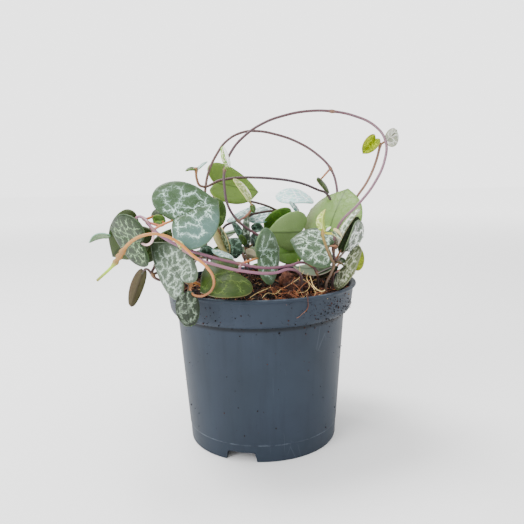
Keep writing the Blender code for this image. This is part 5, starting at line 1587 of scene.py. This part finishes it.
            *hangingPair("frost", (-24.1, 23.7, 38), (0, 0, -1), (-0.7, 0.72, 0), 7.5),
        ],
    },
    "vine_back": {
        "root": (3, 16), "stalk": "#96644b",
        "bark": "#372322 #573b44 #6b4d58 #654249 #826759",
        "path": [(3.3, 20, 55.4), (4.2, 27, 56), (5, 32.6, 53), (5.4, 34.2, 46), (5, 33.6, 37),
                 (4.2, 32.6, 30)],
        "leaves": [
            *hangingPair("silver", (4.1, 26.4, 56), (0.1, 1, 0), (0, 0.4, 0.9), 10.5, 0.35, 0.9),
            *hangingPair("silver", (5.4, 34, 48), (0, 0, -1), (0.1, 1, 0), 14),
            *hangingPair("bold", (4.9, 33.4, 36.2), (0, 0, -1), (0.1, 1, 0), 9.5),
        ],
    },
    "vine_back_right": {
        "root": (15.5, 12), "stalk": "#96644b",
        "bark": "#372322 #573b44 #6b4d58 #654249 #826759",
        "path": [(18, 16, 55.4), (21.6, 21.4, 56), (24.2, 25, 52.6), (24.8, 26.2, 45), (24, 25.6, 38)],
        "leaves": [
            *hangingPair("mottled", (19.4, 18, 56), (0.7, 0.9, 0), (0.3, 0.3, 0.9), 9, 0.3, 0.9),
            *hangingPair("silver", (24.7, 26, 47), (0, 0, -1), (0.6, 0.8, 0), 10.5),
        ],
    },
}


def stemLine(points, radii, colours, knots, swelling):
    # A smooth line with its radius and colour at each point, thicker and paler at its joints
    look = plantLooks
    path = smoothPath(points, look["stepsPerPoint"])
    thickness = spreadAlong(radii, len(path))[:, 0]
    bark = spreadAlong([linear(c) for c in colours], len(path))
    knotColour = np.array(linear(look["knotColour"]))
    for i, point in enumerate(path):
        near = 0.0
        for knot in knots:
            near = max(near, math.exp(-(np.linalg.norm(point - knot) / look["knotReach"]) ** 2))
        thickness[i] *= 1.0 + swelling * near
        bark[i] = bark[i] * (1.0 - look["knotPale"] * near) + knotColour * look["knotPale"] * near
    return path, thickness, bark


def vineLines(vine):
    # The stem, its branches and its leaf stalks, each as one line
    look = plantLooks
    x, y = vine["root"]
    bark = vine["bark"].split()
    foot = [(x, y, look["stemFootZ"]), (x, y, look["stemClearZ"] - 3.0), (x, y, look["stemClearZ"])]
    joints = [one["node"] for one in vine["leaves"] if one["node"]]
    knots = [np.array(knot) for knot in joints + vine.get("knots", [])]
    swelling = vine.get("swelling", look["knotSwelling"])
    radii = vine.get("radii", [look["stemRadius"]] * 2)
    lines = [stemLine(foot + vine["path"], radii, bark, knots, swelling)]
    for branch in vine.get("branches", []):
        lines.append(stemLine(branch, [look["stemRadius"] * 0.9] * 2, bark[-2:], knots, swelling))
    for one in vine["leaves"]:
        if not one["node"]:
            continue
        start, tip = np.array(one["from"]), np.array(one["tip"])
        into = start + (tip - start) / np.linalg.norm(tip - start)
        stalk = one["stalk"] or vine["stalk"]
        radius = look["stalkRadius"]
        lines.append(stemLine([one["node"]] + one["via"] + [tuple(into)], [radius, radius, radius * 0.8],
                              [bark[-1], stalk, stalk, leafKinds[one["kind"]]["green"]], [], swelling))
    return lines


def linesObject(name, lines):
    # One mesh of edges for all the lines, with each point's radius and colour, for the tube tree
    verts, edges, thickness, bark = [], [], [], []
    for path, radius, colour in lines:
        start = len(verts)
        verts += [tuple((point + potAxis) * mm) for point in path]
        edges += [(start + i, start + i + 1) for i in range(len(path) - 1)]
        thickness += list(radius * mm)
        bark += list(colour)
    obj = meshObject(name, verts, [], edges)
    storePoints(obj.data, "thickness", "FLOAT", thickness)
    storePoints(obj.data, "bark", "FLOAT_COLOR", bark)
    return obj


def vineBlades(name, vine, materials, firstSeed):
    # All the blades of one stem in one mesh, each with its own kind of leaf
    verts, faces, places, forms, kinds, slots = [], [], [], [], [], []
    for i, one in enumerate(vine["leaves"]):
        one["seed"] = firstSeed + i
        points, polygons, spots, form = bladeMesh(one)
        start = sum(len(v) for v in verts)
        verts.append((points + potAxis) * mm)
        faces += [tuple(start + k for k in polygon) for polygon in polygons]
        places.append(spots)
        forms.append(form)
        if one["kind"] not in kinds:
            kinds.append(one["kind"])
        slots += [kinds.index(one["kind"])] * len(polygons)
    obj = meshObject(name, np.vstack(verts).tolist(), faces)
    storePoints(obj.data, "leafPlace", "FLOAT_VECTOR", np.vstack(places))
    storePoints(obj.data, "leafForm", "FLOAT_VECTOR", np.vstack(forms))
    for kind in kinds:
        obj.data.materials.append(materials[kind])
    obj.data.polygons.foreach_set("material_index", slots)
    return obj


def makeVines():
    tubes, skin = tubeTree(), stemMaterial()
    materials = {kind: leafMaterial(kind) for kind in leafKinds}
    seed = 1
    for node, vine in vines.items():
        first, *others = node.split("_")[1:]
        name = first + "".join(word.capitalize() for word in others)
        stems = linesObject(name + "Vine", vineLines(vine))
        runNodes(stems, tubes, {"Sides": plantLooks["stemSides"], "Material": skin})
        both = [stems, vineBlades(name + "Blades", vine, materials, seed)]
        seed += len(vine["leaves"])
        with bpy.context.temp_override(active_object=stems, object=stems, selected_objects=both,
                                       selected_editable_objects=both):
            bpy.ops.object.join()
        place(stems, vine.get("slot", "leaf_silver"), node)
    return tubes


stemTubes = makeVines()
print("stage: vines")


# Loose strands, laid one by one where the photograph shows them: over the rim and standing in the tuft
# Each strand: its colour, its radius in mm, and its route
strandLooks = [
    ("red", 0.13, [(12.6, -25.4, 50.9), (12.9, -27.4, 51.4), (13.1, -28.5, 51.2), (13.1, -28.5, 50.6),
        (13.2, -28.1, 49.7), (13.3, -27.2, 48.9), (13.26, -27.1, 48.1), (12.96, -27.15, 47.3)]),
    ("rust", 0.05, [(13, -27.15, 47.5), (12.4, -27.4, 46.8), (11.5, -27.7, 46.2), (10.8, -27.9, 45.6),
        (9.9, -28.2, 45.2)]),
    ("red", 0.06, [(7.8, -25.8, 51), (8.6, -27.2, 53), (8, -28.8, 52.6), (9.4, -30.2, 51.6)]),
    ("straw", 0.13, [(14.7, -18, 55.3), (15, -19.5, 54.1), (15.4, -21, 52.9), (16.6, -22.4, 51.9),
        (17.7, -23, 51.6), (18.6, -22.6, 51.9)]),
    ("straw", 0.075, [(14.2, -17, 56.1), (13.7, -19, 54.6), (14.7, -21, 53.2), (15.7, -22.6, 51.9)]),
    ("straw", 0.06, [(6.8, -21, 52.5), (9.2, -20, 53.7), (11.7, -19, 55.3), (12.9, -18, 56.9)]),
    ("straw", 0.06, [(11.3, -16, 60.2), (11.7, -17.5, 58), (11.7, -19, 55.6)]),
    ("straw", 0.08, [(-3, -26, 50.9), (-1.3, -25, 51.8), (1, -24, 52.6), (3, -22, 53)]),
    ("straw", 0.06, [(0.4, -27, 50.9), (2.1, -25, 51.9), (4.1, -25, 51.6), (5.9, -23, 52.6)]),
    ("rust", 0.07, [(2.8, -20, 53.5), (3.3, -23, 52.1), (4.6, -26, 50.6)]),
    ("rust", 0.08, [(10.3, -25, 51.4), (12, -22, 53.1), (14.5, -20, 54.5)]),
    ("rust", 0.07, [(9.2, -20, 54), (10.8, -23, 52.8), (11.9, -27, 51)]),
    ("red", 0.09, [(8.1, -19, 54.1), (10.3, -21, 53), (13.3, -20, 53.6), (14.9, -22, 52.5)]),
    ("red", 0.08, [(6.8, -21, 52.5), (8.4, -24, 52.1), (11, -23.5, 52.3), (12.9, -25, 51.1)]),
    ("rust", 0.06, [(5.3, -22, 52.4), (8.3, -21, 53.3), (10.8, -19, 55), (11.9, -19, 53.8)]),
    ("straw", 0.055, [(12.5, -19, 54.6), (14.1, -21, 53.5), (13, -24, 52), (10.6, -25, 51.7)]),
    ("red", 0.07, [(15.4, -20, 53.6), (13.4, -22, 52.8), (11.9, -20, 53.6), (9.6, -23, 52.2)]),
    ("rust", 0.06, [(4.9, -26, 51.2), (7.2, -24.5, 51.7), (9.1, -26, 51.1)]),
]
strandTones = {"red": 0.34, "rust": 0.7, "straw": 1.0}


def makeStrands():
    lines, tones = [], []
    for colour, radius, points in strandLooks:
        path = smoothPath(points, 6)
        lines.append((path, np.full(len(path), radius), np.ones((len(path), 4))))
        tones += [strandTones[colour]] * len(path)
    strands = linesObject("coirStrands", lines)
    storePoints(strands.data, "crumbTone", "FLOAT", tones)
    runNodes(strands, stemTubes, {"Sides": 6, "Material": coirMaterial})
    place(strands, "coir")


makeStrands()


# Grit: crumbs of the mix that stick to the pot, most on the right of its band and under it
gritLooks = {
    "perSquareMm": 3.2,
    "size": (0.08, 0.4),  # mm
    "seed": 31,
    "columns": 96,
}


def gritWeight(angle, z):
    right = max(0.0, math.cos(angle - math.radians(-42))) ** 12
    front = max(0.0, math.cos(angle - math.radians(-85))) ** 2
    left = max(0.0, math.cos(angle - math.radians(-122))) ** 16
    band = math.exp(-((z - 46.0) / 3.2) ** 2)
    under = math.exp(-((z - 40.6) / 0.9) ** 2)
    body = 0.012
    return band * (right + 0.25 * left + 0.03) + 0.15 * (front + right) * under + body


def makeGrit():
    look, p = gritLooks, potLooks
    wall = [  # radius and height, down the outside
        (p["lipRadius"] - 0.95, 49.6), (p["bandLowRadius"] + 0.15, 44.4), (p["bandLowRadius"] - 0.1, 43.0),
        (p["bodyTopRadius"] + 0.05, 41.7), (p["footRadius"] + 0.48, 5.6),
    ]
    rows = []
    for (r0, z0), (r1, z1) in zip(wall, wall[1:]):
        steps = max(1, int(abs(z1 - z0)))
        rows += [(r0 + (r1 - r0) * i / steps, z0 + (z1 - z0) * i / steps) for i in range(steps)]
    rows.append(wall[-1])
    count = look["columns"]
    verts, weights = [], []
    for radius, z in rows:
        for k, (x, y) in enumerate(circle(radius, count)):
            verts.append(tuple((np.array((x, y, z)) + potAxis) * mm))
            weights.append(gritWeight((tau * k / count + math.pi) % tau - math.pi, z))
    grit = meshObject("gritOnPot", verts, bandFaces(len(rows) - 1, count))
    storePoints(grit.data, "scatter", "FLOAT", weights)
    runNodes(grit, crumbTree(), {
        "Density": look["perSquareMm"] * 1e6, "Smallest": look["size"][0] * mm,
        "Largest": look["size"][1] * mm, "Lift": 0.00005, "Seed": look["seed"],
        "Material": soilMaterial("gritCrumbs", "crumbTone"),
    })
    place(grit, "potting_soil")


makeGrit()
print("stage: strands and grit")
